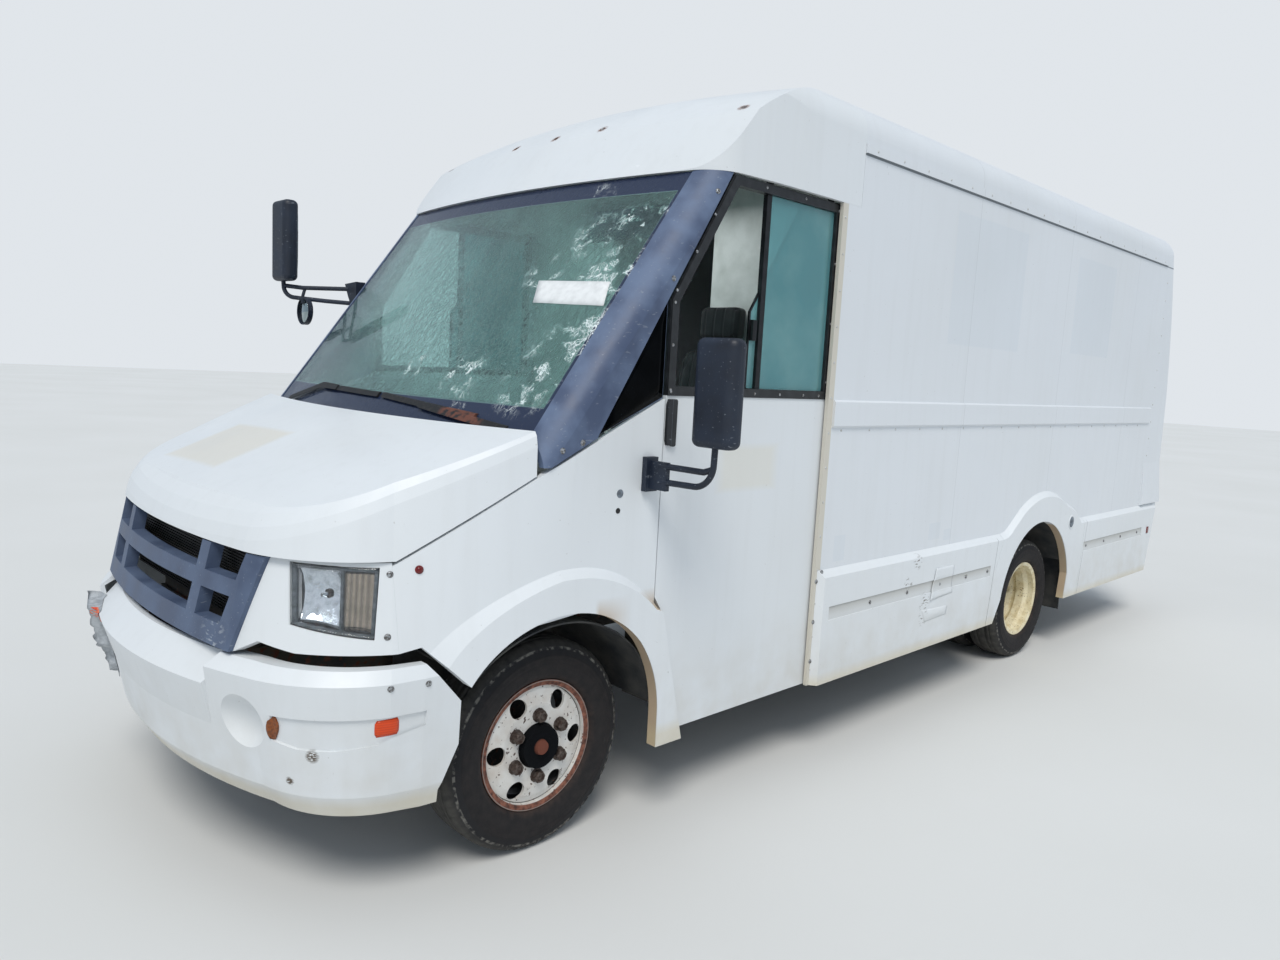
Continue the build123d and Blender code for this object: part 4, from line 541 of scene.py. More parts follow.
# Plugs and locks: a cast zinc plug with a black lock barrel under it on each cab side, pressed in
# Weathered zinc casting: matt blue grey, a little darker in clouds
lock_face = clouded("zinc_casting_weathered", "#7d8791", "#646b73", 15, 0.4, 0.6, Metallic=0.3, Roughness=0.5)
plug = turned([(0, -2), (15, -2), (15, 0.8), (13.5, 1.6), (0, 1.8)], 20)
repeat("side_plugs", [beside("fenders", side, 208, 1286) for side in (-1, 1)], plug, lock_face, "chassis",
       "cast_metal")
# Moulded black barrel: a dark dot with a soft shine
lock_black = clouded("lock_barrel_black", "#0c0d0e", "#1f2123", 6, 0.4, 0.6, Roughness=0.4)
barrel = turned([(0, -2), (10, -2), (10, 1.2), (8.5, 1.8), (6, 1.8), (5, 0.4), (0, 0.4)], 16)
repeat("lock_barrels", [beside("fenders", side, 202, 1226) for side in (-1, 1)], barrel, lock_black, "chassis",
       "dark_plastic")

# Small lamps: red and amber lenses of moulded acrylic. One red cap on each cab side, an amber marker
# let into the bumper's groove, a browned one in the edge of the round recess, and a red rear marker.

# How far before its node the rays of a sheet start, in metres
ray_run = 0.6


def sheet(front, back, wide):
    """Corners and faces of a thin closed sheet from two like grids of points, given row after row."""
    shift, rows, faces = len(front), len(front) // wide, []
    for row in range(rows - 1):
        for a in range(row * wide, row * wide + wide - 1):
            faces.append((a, a + wide, a + wide + 1, a + 1))
            faces.append((shift + a, shift + a + 1, shift + a + wide + 1, shift + a + wide))
    rim = list(range(wide - 1)) + [row * wide + wide - 1 for row in range(rows - 1)]
    rim += [(rows - 1) * wide + column for column in range(wide - 1, 0, -1)]
    rim += [row * wide for row in range(rows - 1, 0, -1)]
    faces += [(a, b, shift + b, shift + a) for a, b in zip(rim, rim[1:] + rim[:1])]
    return front + back, faces


def lying(name, corners, columns, rows, heading, lift, thick, wave=lambda u, v: 0.0, waist=lambda v: 1.0):
    """Sheet lying on a CAD node, lifted by millimetres; its corners are given in the view along the heading."""
    front, back = [], []
    for row in range(rows + 1):
        v = row / rows
        for column in range(columns + 1):
            u = 0.5 + (column / columns - 0.5) * waist(v)
            start = corners[0].lerp(corners[1], u).lerp(corners[3].lerp(corners[2], u), v)
            spot, normal = skin(name, start - Vector(heading) * ray_run, heading)
            height = lift + wave(u, v)
            front.append(spot + normal * height / 1000)
            back.append(spot + normal * (height - thick) / 1000)
    return sheet(front, back, columns + 1)


# Red acrylic: deep red, glossy, unevenly dark behind the face
red_lens = clouded("acrylic_moulded_red", "#7c1414", "#4c0d0d", 8, Roughness=0.18, IOR=1.49)
# Amber acrylic: bright orange with moulded ridges across
amber_lens, shader, where = new_finish("acrylic_moulded_amber", Roughness=0.22, IOR=1.49)
ridges = put(where, "ShaderNodeTexWave", {"Vector": where, "Scale": 40.0}, bands_direction="Z").outputs["Fac"]
feed(shader, Base_Color=coats("#dd470b", (fade(ridges, 0, 1, 0, 0.5), "#bb3506")))
relief(shader, ridges, 0.3)
# The same acrylic browned by age
bronze_lens = clouded("acrylic_moulded_bronze", "#8a4a1c", "#5c2f14", 9, Roughness=0.22, IOR=1.49)
cap_lens = turned([(0, -2), (13, -2), (13, 2), (10, 2.4), (9, 6), (6, 8.5), (0, 9.5)], 20)
repeat("cab_side_lamps", [beside("fenders", side, -511, 1083) for side in (-1, 1)], cap_lens, red_lens,
       "chassis", "red_lens", smooth=True)
for side, hand in ((1, "left"), (-1, "right")):
    marker = [place(side * x, station, z) for x, station, z in
              ((1004, -657, 646), (1024, -588, 651), (1018, -585, 596), (1000, -654, 592))]
    marker_lens = lying("bumper", marker, 6, 5, (-side, 0, 0), 4, 6,
                        wave=lambda u, v: -3 * max(abs(2 * u - 1), abs(2 * v - 1)) ** 6,
                        waist=lambda v: 0.84 + 0.16 * (1 - abs(2 * v - 1) ** 5))
    piece("bumper_marker_" + hand, *marker_lens, "chassis", amber_lens, "lamp_lens")
    edge = [place(side * x, station, z) for x, station, z in
            ((790, -891, 650), (822, -875, 655), (806, -861, 577), (780, -879, 568))]
    edge_lens = lying("bumper", edge, 6, 12, (0, 1, 0), 6, 9, wave=lambda u, v: -4 * abs(2 * v - 1) ** 3,
                      waist=lambda v: 0.15 + 0.85 * math.sin(math.pi * v))
    piece("recess_lamp_" + hand, *edge_lens, "chassis", bronze_lens, "lamp_lens")
    rear = [place(side * 1138, station, z) for station, z in
            ((5810, 700), (5850, 700), (5850, 650), (5810, 650))]
    rear_lens = lying("skirts", rear, 3, 4, (-side, 0, 0), 4, 5)
    piece("rear_marker_" + hand, *rear_lens, "chassis", red_lens, "red_lens")

# Filler recess and the bent flap of the left skirt: a pressed dish with a cap, and a small sheet
# flap that has been pushed in and stands off along its front edge, with a crease below it
filler = turned([(0, -1), (46, -1), (46, 3), (40, 3.4), (36, 0.6), (0, 0.6)], 28)
filler_seat = beside("skirts", 1, 4238, 866)
repeat("filler_recess", [filler_seat], filler, moulded_paint, "chassis", "white_paint", smooth=True)
cap = turned([(0, 0), (36, 0), (36, 1.6), (28, 1.2), (26, 2.6), (8, 3.2), (8, 6), (0, 6)], 20)
repeat("filler_cap", [filler_seat], cap, lock_face, "chassis", "cast_metal")


def stood_off(u, v):
    """How far the flap stands off, most along its front edge."""
    return 4.5 * (1 - u) ** 4 - 1.0 * u


def pushed_out(u, v):
    """Ridge of the crease, highest in its middle."""
    return 7 * math.sin(math.pi * v) * math.sin(math.pi * u) ** 0.5 if 0 < u < 1 else 0.0


# Columns: name, station and height of the corners, columns, rows, lift, thickness, wave
for name, corners, columns, rows, lift, thick, wave in (
        ("skirt_flap", ((2436, 768), (2640, 764), (2640, 610), (2396, 600)), 16, 12, 1.5, 2.5, stood_off),
        ("skirt_crease", ((2320, 560), (2600, 548), (2590, 500), (2360, 492)), 14, 8, 0.5, 3, pushed_out)):
    corners = [place(skirt_face, station, z) for station, z in corners]
    bent_sheet = lying("skirts", corners, columns, rows, (-1, 0, 0), lift, thick, wave)
    piece(name, *bent_sheet, "chassis", moulded_paint, "white_paint")

# Grille, pillar covers and mirrors: moulded in blue black polypropylene with a grained skin, chalked by the
# sun on the pillars and scraped white at the grille's lower near corner.


def grained(name, dark, chalk, share):
    """Moulded polymer with a leather grain of 3 mm, chalked in clouds and lightly scratched."""
    made, shader, where = new_finish(name, Roughness=0.55)
    cloud = meet(grain(where, 140, 0.35, 0.65), share)
    scratch = meet(grain(where, 9, 0.66, 0.7, stretch=(1, 0.25, 1)), 0.35)
    tone = coats(dark, (cloud, chalk), (scratch, "#9aa0a8"))
    feed(shader, Base_Color=tone, Roughness=fade(cloud, 0, 1, 0.45, 0.7))
    cells = put(where, "ShaderNodeTexVoronoi", {"Vector": where, "Scale": 330.0}).outputs["Distance"]
    relief(shader, cells, 0.25)
    return made, shader, where, tone


# Chalked polypropylene: dark grey, tinted slate blue partly by painted sky light, and bleached by the sun in
# clouds
paint(grained("polypropylene_grained_chalked", "#485570", "#6a7b97", 0.8)[0], "pillar_covers")
# The same less bleached, its blue partly painted sky light too, scraped to white fibres at one corner
grille_plastic, shader, where, tone = grained("polypropylene_grained_grille", "#435069", "#65758f", 0.55)
scrape = meet(ball_mask(where, place(545, -1010, 852), 0.02, 0.10), grain(where, 12, 0.54, 0.62, (0.4, 1, 1)))
feed(shader, Base_Color=coats(tone, (scrape, "#bfc6cc")))
paint(grille_plastic, "grille")
# Unbleached: almost black
mirror_plastic = grained("polypropylene_grained_mirror", "#131a27", "#263347", 0.5)[0]
paint(mirror_plastic, "mirrors")

# Quarter windows: small three-cornered panes behind the pillar covers, bonded from outside
# Blacked float glass: a dark gloss that shows nothing behind it
black_glass = clouded("glass_float_blacked", "#020304", "#07090c", 90, 0.45, 0.75, Roughness=0.12, IOR=1.5,
                      Specular_IOR_Level=0.04)
for side, hand in ((1, "left"), (-1, "right")):
    quarter = [place(side * 1090, station, z) for station, z in
               ((105, 1494), (396, 1958), (396, 1622), (106, 1493))]
    pane = lying("pillar_covers", quarter, 10, 6, (-side, 0, 0), 0.8, 2.0)
    piece("quarter_glass_" + hand, *pane, "chassis", black_glass, "window_glass")

# Mirror glasses: silvered plates clipped in the heads, facing the rear, and one in the small round
# mirror, which a moulded rim holds


def slab(near, far):
    """Corners and faces of a flat piece between two outlines with as many corners."""
    count = len(near)
    faces = [tuple(range(count)), tuple(range(2 * count - 1, count - 1, -1))]
    faces += [(i, count + i, count + (i + 1) % count, (i + 1) % count) for i in range(count)]
    return near + far, faces


def rounded(turn, half):
    """How far out a plate with rounded corners reaches along one axis, from the turn's share on it."""
    return math.copysign(abs(turn) ** 0.35, turn) * half


# Silvered glass: a clear grey reflection, a little blind in clouds
silvered = clouded("glass_silvered", "#a9b6b8", "#8c9a9c", 60, 0.45, 0.75, Metallic=1.0, Roughness=0.06)
glass_half, glass_corners = 66, 32
turns = [2 * math.pi * corner / glass_corners for corner in range(glass_corners)]
for hand, x, station, low, high in (("left", 1390, 345, 1470, 1832), ("right", -1390, 70, 2070, 2475)):
    near, far = ([place(x + rounded(math.cos(turn), glass_half), station + depth,
                        (high + low) / 2 + rounded(math.sin(turn), (high - low) / 2 - 30)) for turn in turns]
                 for depth in (40.6, 38.0))
    piece("mirror_glass_" + hand, *slab(near, far), "chassis", silvered, "window_glass", smooth=False)
spot_disc = turned([(0, -1), (60, -1), (60, 0.6), (0, 1.2)], 36)
spot_x, spot_station, spot_z = -1325, 141, 1921
repeat("spot_mirror_glass", [(place(spot_x, spot_station - 0.8, spot_z), (0, -1, 0))], spot_disc, silvered,
       "chassis", "window_glass", smooth=True)
hooded = turned([(66, -1), (70.5, -1), (70.5, 4), (66, 4), (66, -1)], 36)
repeat("spot_mirror_rim", [(place(spot_x, spot_station, spot_z), (0, -1, 0))], hooded, mirror_plastic,
       "chassis", "dark_plastic", smooth=True)

# Wipers: steel arms on two spindles under the glass, with rubber blades
# Painted steel: black and matt, the near arm rusted through in a stretch
wiper_steel, shader, where = new_finish("steel_arm_painted", Roughness=0.6)
x, y, z = put(where, "ShaderNodeSeparateXYZ", {0: where}).outputs
rusty = meet(band(x, 0.54, 0.74, 0.03), grain(where, 30, 0.4, 0.55))
feed(shader, Base_Color=coats("#17181a", (grain(where, 12, 0.55, 0.65), "#2e2a28"), (rusty, "#6b3f30")))
relief(shader, grain(where, 6, 0.3, 0.7), 0.5)
paint(wiper_steel, "wipers")

# Grille backing: the cooling pack's finned core in its moulded shroud, bolted behind the grille and
# seen between the bars
# Black shroud and blackened aluminium fins: matt and sooty, the fins a little browner
shroud = clouded("cooling_core_black", "#0b0c0d", "#22211f", 40, Roughness=0.6)
fin_metal = clouded("fins_aluminium_blackened", "#2c2b2a", "#45403a", 30, Metallic=0.5, Roughness=0.5)
near, far = ([place(x, station, z) for x, z in ((-585, 850), (585, 850), (640, 1095), (-640, 1095))]
             for station in (-846, -850))
piece("cooling_shroud", *slab(near, far), "chassis", shroud, "chassis_paint", smooth=False)
fin_ends = ([Vector((x, y, z)) for y, z in ((-0.0012, 0), (-0.0012, 0.006), (0.0012, 0.006), (0.0012, 0))]
            for x in (-0.555, 0.555))
fin_spacing = 10
repeat("cooling_fins", [(place(0, -850, 860 + step * fin_spacing), (0, -1, 0)) for step in range(23)],
       slab(*fin_ends), fin_metal, "chassis", "chassis_paint")

# Headlamps: a clear lens with a ribbed top edge clipped over a bowl, a bulb in its seat, and a bezel.
# The outer third is a fluted turn signal with an amber tinge. All is moulded and snapped together.
lens_corners = [place(755.8, 0, 1098), place(940.3, 0, 1091), place(970, 0, 881), place(797.6, 0, 918)]
before_truck = -4.0


def lamp_point(side, u, v, depth):
    """Place behind the lamp's front face, u across from the grille, v down, depth in millimetres."""
    top, foot = lens_corners[0].lerp(lens_corners[1], u), lens_corners[3].lerp(lens_corners[2], u)
    start = top.lerp(foot, v)
    spot, normal = skin("headlamps", Vector((side * start.x, before_truck, start.z)), (0, 1, 0))
    return spot + Vector((-side * 0.45, 1, 0)).normalized() * depth / 1000


def steps(low, high, count):
    """Even steps between two values."""
    return [low + (high - low) * i / count for i in range(count + 1)]


def bowl_depth(u, v):
    """Hollow of the reflector, in millimetres behind the lamp's face."""
    return 62 - 44 * (((u - 0.35) / 0.29) ** 2 + ((v - 0.51) / 0.44) ** 2) / 2


def signal_depth(u, v):
    """Trough of the turn signal, in millimetres behind the lamp's face."""
    return 24 + 14 * math.sin(math.pi * (u - 0.64) / 0.305)


# Clear polycarbonate: glassy, with a faint haze
clear_lens = clouded("polycarbonate_clear", "#f6f8fa", "#dfe3e2", 25, 0.45, 0.8, Roughness=0.03, IOR=1.58,
                     Transmission_Weight=1.0)
# Aluminised bowl: a bright mirror broken into facets of about 22 mm
chrome, shader, where = new_finish("reflector_aluminised", Metallic=1.0, Roughness=0.08)
feed(shader, Base_Color=coats("#d9dee4", (grain(where, 30, 0.5, 0.75), "#b3b7ba")))
relief(shader, put(where, "ShaderNodeTexVoronoi", {"Vector": where, "Scale": 45.0}).outputs["Distance"], 1.2)
# Fluted reflector behind amber: warm grey upright stripes
signal, shader, where = new_finish("reflector_fluted_amber", Metallic=0.9, Roughness=0.2)
slope = put(where, "ShaderNodeVectorMath", {0: where, 1: (0, 1.0, -0.12)}, operation="DOT_PRODUCT").outputs[1]
across = put(where, "ShaderNodeCombineXYZ", {0: slope}).outputs[0]
flutes = put(where, "ShaderNodeTexWave", {"Vector": across, "Scale": 22.0}, bands_direction="X").outputs["Fac"]
feed(shader, Base_Color=coats("#b3a493", (fade(flutes, 0, 1, 0, 0.8), "#857867")))
relief(shader, flutes, 1.5)
# Moulded grey polymer: matt, a little chalked
bezel_plastic = clouded("bezel_moulded_grey", "#555f66", "#7d858a", 20, Roughness=0.45)
# Halogen glass: clear, with a cold sparkle
bulb_glass = clouded("halogen_glass", "#e8eef2", "#c9d2d6", 8, Roughness=0.05, IOR=1.47,
                     Transmission_Weight=0.8)
# Columns: name, u from and to and steps, v from and to and steps, depth, thickness, finish, slot
lamp_sheets = (
    ("reflector", (0.06, 0.64, 22), (0.075, 0.95, 20), bowl_depth, 1.5, chrome, "lamp_lens"),
    ("signal", (0.64, 0.945, 14), (0.075, 0.95, 12), signal_depth, 1.5, signal, "lamp_lens"),
    ("bezel_top", (0.0, 1.0, 12), (0.0, 0.075, 10), lambda u, v: 8.0, 10, bezel_plastic, "dark_plastic"),
    ("bezel_foot", (0.0, 1.0, 12), (0.95, 1.0, 10), lambda u, v: 8.0, 10, bezel_plastic, "dark_plastic"),
    ("bezel_inner", (0.0, 0.07, 12), (0.07, 0.96, 10), lambda u, v: 8.0, 10, bezel_plastic, "dark_plastic"),
    ("bezel_outer", (0.94, 1.0, 12), (0.07, 0.96, 10), lambda u, v: 8.0, 10, bezel_plastic, "dark_plastic"),
    ("bezel_middle", (0.63, 0.655, 12), (0.07, 0.96, 10), lambda u, v: 8.0, 10, bezel_plastic, "dark_plastic"),
    ("back", (0.0, 1.0, 8), (0.0, 1.0, 8), lambda u, v: 64.0, 2, bezel_plastic, "dark_plastic"),
    ("lens", (0.0, 1.0, 24), (0.0, 1.0, 20), lambda u, v: 0.6, 2.6, clear_lens, "lamp_lens"),
)
rib = turned([(0, -1.2), (2.2, -1.2), (2.2, 1.0), (1.2, 2.0), (0, 2.2)], 8)
bulb = turned([(0, 0), (6, 0), (6, 20), (4.6, 24), (0, 26)], 14)
bulb_seat = turned([(0, -8), (14, -8), (14, 0), (9, 2), (0, 2)], 18)
for side, hand in ((1, "left"), (-1, "right")):
    for label, us, vs, depth, thick, finish, slot in lamp_sheets:
        front, back = ([lamp_point(side, u, v, depth(u, v) + more) for v in steps(*vs) for u in steps(*us)]
                       for more in (0, thick))
        piece("lamp_" + label + "_" + hand, *sheet(front, back, us[2] + 1), "chassis", finish, slot)
    ribs = [(lamp_point(side, u, v, 1.6), (-side * 0.2, -1, 0.1)) for u in steps(0.12, 0.6, 22)
            for v in (0.045, 0.075)]
    repeat("lamp_ribs_" + hand, ribs, rib, clear_lens, "chassis", "lamp_lens", smooth=True)
    bulb_place = [(lamp_point(side, 0.35, 0.5, 58), (side * 0.3, -1, 0))]
    repeat("lamp_bulb_" + hand, bulb_place, bulb, bulb_glass, "chassis", "lamp_lens", smooth=True)
    repeat("lamp_bulb_seat_" + hand, bulb_place, bulb_seat, plated, "chassis", "bare_metal")
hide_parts("headlamps")

# Windscreen: one bent sheet of laminated glass, bonded in, with a black fired border. It is shattered
# on the driver's side, where white cracks run from several blows down towards the corner.
# Laminated glass: green and clear, white and rough where it is crazed, opaque at the border, where a painted
# sky reflection tints the black frit dark blue
laminate, shader, where = new_finish("glass_laminated_bent", Roughness=0.02, IOR=1.5, Transmission_Weight=1.0,
                                     Specular_IOR_Level=0.3)
x, y, z = put(where, "ShaderNodeSeparateXYZ", {0: where}).outputs
glass_foot, glass_top = 1.545, 2.400
in_from_side = reckon("SUBTRACT", fade(z, 1.462, 2.452, 0.992, 0.974), reckon("ABSOLUTE", x))
edge = reckon("MINIMUM", reckon("MULTIPLY", in_from_side, 1.6), reckon("SUBTRACT", z, glass_foot),
              reckon("MULTIPLY", reckon("SUBTRACT", z, glass_top), -1.0))
border = fade(edge, 0.030, 0.024)
# Cracks in three sizes, bent off their cells by noise and drawn out down the glass
noise = put(where, "ShaderNodeTexNoise", {"Vector": where, "Scale": 30.0, "Detail": 3.0}).outputs["Color"]
bent = put(where, "ShaderNodeVectorMath", {0: noise, 1: (0.035, 0.035, 0.035)}, operation="MULTIPLY").outputs[0]
bent = put(where, "ShaderNodeVectorMath", {0: where, 1: bent}, operation="ADD").outputs[0]
bent = put(where, "ShaderNodeVectorMath", {0: bent, 1: (1.0, 0.55, 0.42)}, operation="MULTIPLY").outputs[0]
cracks = []
for scale, width in ((15.0, 0.020), (36.0, 0.040), (80.0, 0.05)):
    cell = put(where, "ShaderNodeTexVoronoi", {"Vector": bent, "Scale": scale}, feature="DISTANCE_TO_EDGE")
    cracks.append(fade(cell.outputs["Distance"], width, width * 0.3))
web = either(*cracks)
# Columns: x, station, height, radius in metres of a shattered area
blows = [(576, 488, 2362, 0.10), (885, 452, 2266, 0.16), (958, 348, 2112, 0.17), (866, 282, 2036, 0.16),
         (985, 133, 1820, 0.20), (841, -9, 1650, 0.17), (900, 60, 1740, 0.2), (482, -48, 1663, 0.13),
         (166, -59, 1673, 0.08), (560, 250, 2060, 0.12), (700, 380, 2200, 0.14), (554, -116, 1559, 0.07)]
struck = either(*[ball_mask(where, place(*blow[:3]), blow[3] * 0.15, blow[3]) for blow in blows])
white = either(meet(web, grain(where, 70, 0.50, 0.58), fade(struck, 0.05, 0.6)),
               meet(struck, grain(where, 30, 0.55, 0.75, (1, 1, 2)), 0.22),
               meet(fade(struck, 0.2, 0.4), grain(where, 20, 0.72, 0.74)))
solid = either(border, white, meet(grain(where, 200, 0.35, 0.8), 0.10))
# The border's dark blue is a painted sky reflection on black frit
feed(shader, Base_Color=coats("#a8d6d0", (border, "#28324a"), (white, "#e8f0f0")),
     Transmission_Weight=fade(solid, 0, 1, 1, 0), Roughness=fade(white, 0, 1, 0.02, 0.5))
relief(shader, web, 0.2)
paint(laminate, "windscreen")

# Sun visor and label: a board in vinyl, folded down behind the glass on the driver's side, and a blank
# paper label stuck on the glass before it
# Dark blue vinyl, softly grained
visor_vinyl = clouded("vinyl_over_board", "#0d1a30", "#1b2c44", 80, 0.4, 0.7, 5, 0.2, Roughness=0.6)
near, far = ([place(x, station + depth, z) for x, station, z in
              ((330, 690, 2370), (880, 640, 2350), (900, 560, 2215), (360, 610, 2225))] for depth in (0, 14))
piece("sun_visor", *slab(near, far), "chassis", visor_vinyl, "dark_plastic", smooth=False)
# Matt white paper, faintly cockled
label_sheet = clouded("label_paper_blank", "#eceeee", "#dcdede", 30, Roughness=0.6)
label = [place(x, 0, z) for x, z in ((559, 2028), (915, 2018), (953, 1928), (606, 1940))]
paper = lying("windscreen", label, 12, 4, (0, 1, 0), 0.9, 0.6, wave=lambda u, v: 0.4 * math.sin(9 * u))
piece("blank_label", *paper, "chassis", label_sheet, "window_glass")

# Door windows: float glass in a black frame. A fixed rear pane and a front pane with a slanted edge that
# slides back behind it; both front panes stand half open, and a black post parts the two.


def plate(outline, inner, outer):
    """Flat sheet between two x planes from (station, height) corners."""
    return slab(*([place(x, station, z) for station, z in outline] for x in (inner, outer)))


# Tinted float glass: blue green, clear and glossy
tinted = clouded("glass_float_tinted", "#7dbcc2", "#9bd0d2", 300, Roughness=0.02, IOR=1.5,
                 Transmission_Weight=0.62)
# Black anodised aluminium: dark with a soft metal shine
post_black = clouded("aluminium_anodised_black", "#141619", "#25272b", 40, Metallic=0.4, Roughness=0.4)
foot, top, post_front, post_rear = 1663, 2411, 917, 945
# Columns: name, corners, inner x, outer x, finish, slot
window_parts = (
    ("door_pane_fixed", [(930, foot), (930, top), (1371, top), (1371, foot)], 1073, 1077,
     tinted, "window_glass"),
    ("door_pane_sliding", [(868, 1664), (868, 1962), (1152, 2410), (1330, 2410), (1330, 1664)], 1062, 1066,
     tinted, "window_glass"),
    ("window_post", [(post_front, foot), (post_front, top), (post_rear, top), (post_rear, foot)], 1060, 1080,
     post_black, "dark_plastic"),
    ("pane_edge", [(868, 1664), (868, 1962), (1152, 2410), (1160, 2410), (876, 1960), (876, 1664)], 1060, 1068,
     post_black, "dark_plastic"),
    ("pane_catch", [(876, 1850), (876, 1930), (900, 1930), (900, 1850)], 1067, 1084,
     post_black, "dark_plastic"),
)
for side, hand in ((1, "left"), (-1, "right")):
    for name, outline, inner, outer, finish, slot in window_parts:
        piece(name + "_" + hand, *plate(outline, side * inner, side * outer), "cab_door_" + hand, finish, slot,
              smooth=False, stands_for=["door_glass_" + hand] if name == "door_pane_fixed" else ())

# Door handles: a black moulded pull over each grip, screwed on from inside, with a thumb slot
# Black polypropylene: matt, finely grained, with a lighter worn slot
handle_plastic, shader, where, tone = grained("polypropylene_grained_handle", "#15171b", "#2b2e34", 0.5)
x, y, z = put(where, "ShaderNodeSeparateXYZ", {0: where}).outputs
feed(shader, Base_Color=coats(tone, (meet(band(y, -2.100, -2.095, 0.001), 0.6), "#5b6068")))
pull = [(418, 1450), (412, 1466), (412, 1596), (420, 1616), (450, 1616), (460, 1594), (460, 1470), (454, 1450)]
for side, hand in ((1, "left"), (-1, "right")):
    piece("door_handle_" + hand, *plate(pull, side * 1084, side * 1099.5), "cab_door_" + hand, handle_plastic,
          "dark_plastic", smooth=False)

# Cab inside: a moulded dashboard, a painted steel bulkhead and floor, worn step wells, and a sprung
# driver's seat in black vinyl with sewn channels, on a steel pedestal
# Moulded grey ABS: matt and grained
dash_plastic = grained("abs_moulded_grey", "#3a3f42", "#555b5c", 0.5)[0]
# Sprayed grey enamel on steel: pale, satin, clouded by hands and boots
cab_enamel = clouded("enamel_sprayed_grey", "#dde0db", "#c4c8c1", 120, 0.4, 0.7, 40, 0.05, Roughness=0.55)
# Floor plate: bare, brown grey and trodden, with raised tread bars
floor_plate, shader, where = new_finish("floor_plate_worn", Roughness=0.6)
feed(shader, Base_Color=coats("#6d6a64", (grain(where, 90, 0.4, 0.7), "#4c4943")))
bars = put(where, "ShaderNodeTexWave", {"Vector": where, "Scale": 12.0, "Distortion": 1.0}).outputs["Fac"]
relief(shader, bars, 0.8)
paint(dash_plastic, "dashboard", "engine_cover")
paint(cab_enamel, "bulkhead", "cab_floor")
paint(floor_plate, "step_wells", "load_floor")

# Sewn vinyl: soft black with a fine grain and seams that draw it in
vinyl, shader, where = new_finish("vinyl_sewn_black", Roughness=0.5, Sheen_Weight=0.1)
channels = put(where, "ShaderNodeTexWave", {"Vector": where, "Scale": 5.5}, bands_direction="X").outputs["Fac"]
cells = put(where, "ShaderNodeTexVoronoi", {"Vector": where, "Scale": 420.0}).outputs["Distance"]
feed(shader, Base_Color=coats("#17181a", (grain(where, 60, 0.4, 0.7), "#2b2b2c")))
relief(shader, reckon("ADD", cells, meet(fade(channels, 0, 0.2), 4)), 0.5)
cushion_cells = 14


def cushion(name, middle, half, lean, crown, pinch, stands_for=()):
    """Crowned cushion whose sides pull in between its corners, leaning back by an angle in degrees."""
    grid = steps(-1, 1, cushion_cells)
    turn = math.radians(lean)
    verts, faces, index = [], [], {}

    def vertex(a, b, c):
        key = (round(a, 4), round(b, 4), round(c, 4))
        if key not in index:
            soft = 1 - 0.10 * (abs(a * b) ** 6 + abs(b * c) ** 6 + abs(a * c) ** 6)
            seam = 0.035 * math.exp(-((abs(a) - 0.55) / 0.05) ** 2) * abs(c)
            x = half[0] * a * soft * (1 - pinch * (1 - b * b) * abs(a) ** 8)
            y = half[1] * b * soft * (1 - pinch * (1 - a * a) * abs(b) ** 8)
            z = half[2] * c * soft * (1 + crown * (1 - a * a) * (1 - b * b) - seam)
            y, z = y * math.cos(turn) - z * math.sin(turn), y * math.sin(turn) + z * math.cos(turn)
            index[key] = len(verts)
            verts.append(place(middle[0] + x, middle[1] + y, middle[2] + z))
        return index[key]

    for a, a2 in zip(grid, grid[1:]):
        for b, b2 in zip(grid, grid[1:]):
            for c in (-1, 1):
                faces.append([vertex(a, b, c), vertex(a2, b, c), vertex(a2, b2, c), vertex(a, b2, c)])
                faces.append([vertex(a, c, b), vertex(a2, c, b), vertex(a2, c, b2), vertex(a, c, b2)])
                faces.append([vertex(c, a, b), vertex(c, a2, b), vertex(c, a2, b2), vertex(c, a, b2)])
    made = piece(name, verts, faces, None, vinyl, None)
    finer = made.modifiers.new("finer", "SUBSURF")
    finer.levels = finer.render_levels = 1
    mesh = settle(made)
    bpy.data.objects.remove(made)
    dressed(mesh, name, "chassis", vinyl, "seat_cover", stands_for=stands_for)


seat_x = 480
cushion("seat_cushion", (seat_x, 1085, 1135), (238, 240, 50), 0, 0.12, 0.04, stands_for=["driver_seat"])
cushion("seat_back", (seat_x, 1353, 1490), (228, 340, 42), 84, 0.14, 0.04)
cushion("seat_head_rest", (seat_x, 1390, 1950), (124, 78, 34), 86, 0.15, 0.05)
base = [(900, 832), (900, 1084), (1260, 1084), (1260, 832)]
piece("seat_pedestal", *plate(base, 312, 648), "chassis", enamel, "chassis_paint", smooth=False)
stalk = turned([(0, 0), (6, 0), (6, 90), (0, 90)], 12)
repeat("seat_stalks", [(place(seat_x + dx, 1386, 1815), (0, 0.05, 1)) for dx in (-50, 50)], stalk, plated,
       "chassis", "bare_metal")

# Rear end: a roll-up door of ribbed aluminium slats with a pull strap and lock bar, round lamps in
# the posts, and a step bumper of black enamelled plate, bolted to the rails
# Ribbed red acrylic: bright red rings, and clear white in the lowest lamp
lamp_red, shader, where = new_finish("acrylic_ribbed_red", Roughness=0.2, IOR=1.49)
x, y, z = put(where, "ShaderNodeSeparateXYZ", {0: where}).outputs
rings = put(where, "ShaderNodeTexWave", {"Vector": where, "Scale": 32.0}, bands_direction="Z").outputs["Fac"]
feed(shader, Base_Color=coats("#a01414", (fade(rings, 0, 1, 0, 0.4), "#6d0b0b"),
                              (fade(z, 1.146, 1.145), "#d8dcdc")))
relief(shader, rings, 0.4)
paint(lamp_red, "tail_lamps")
paint(enamel, "rear_bumper")
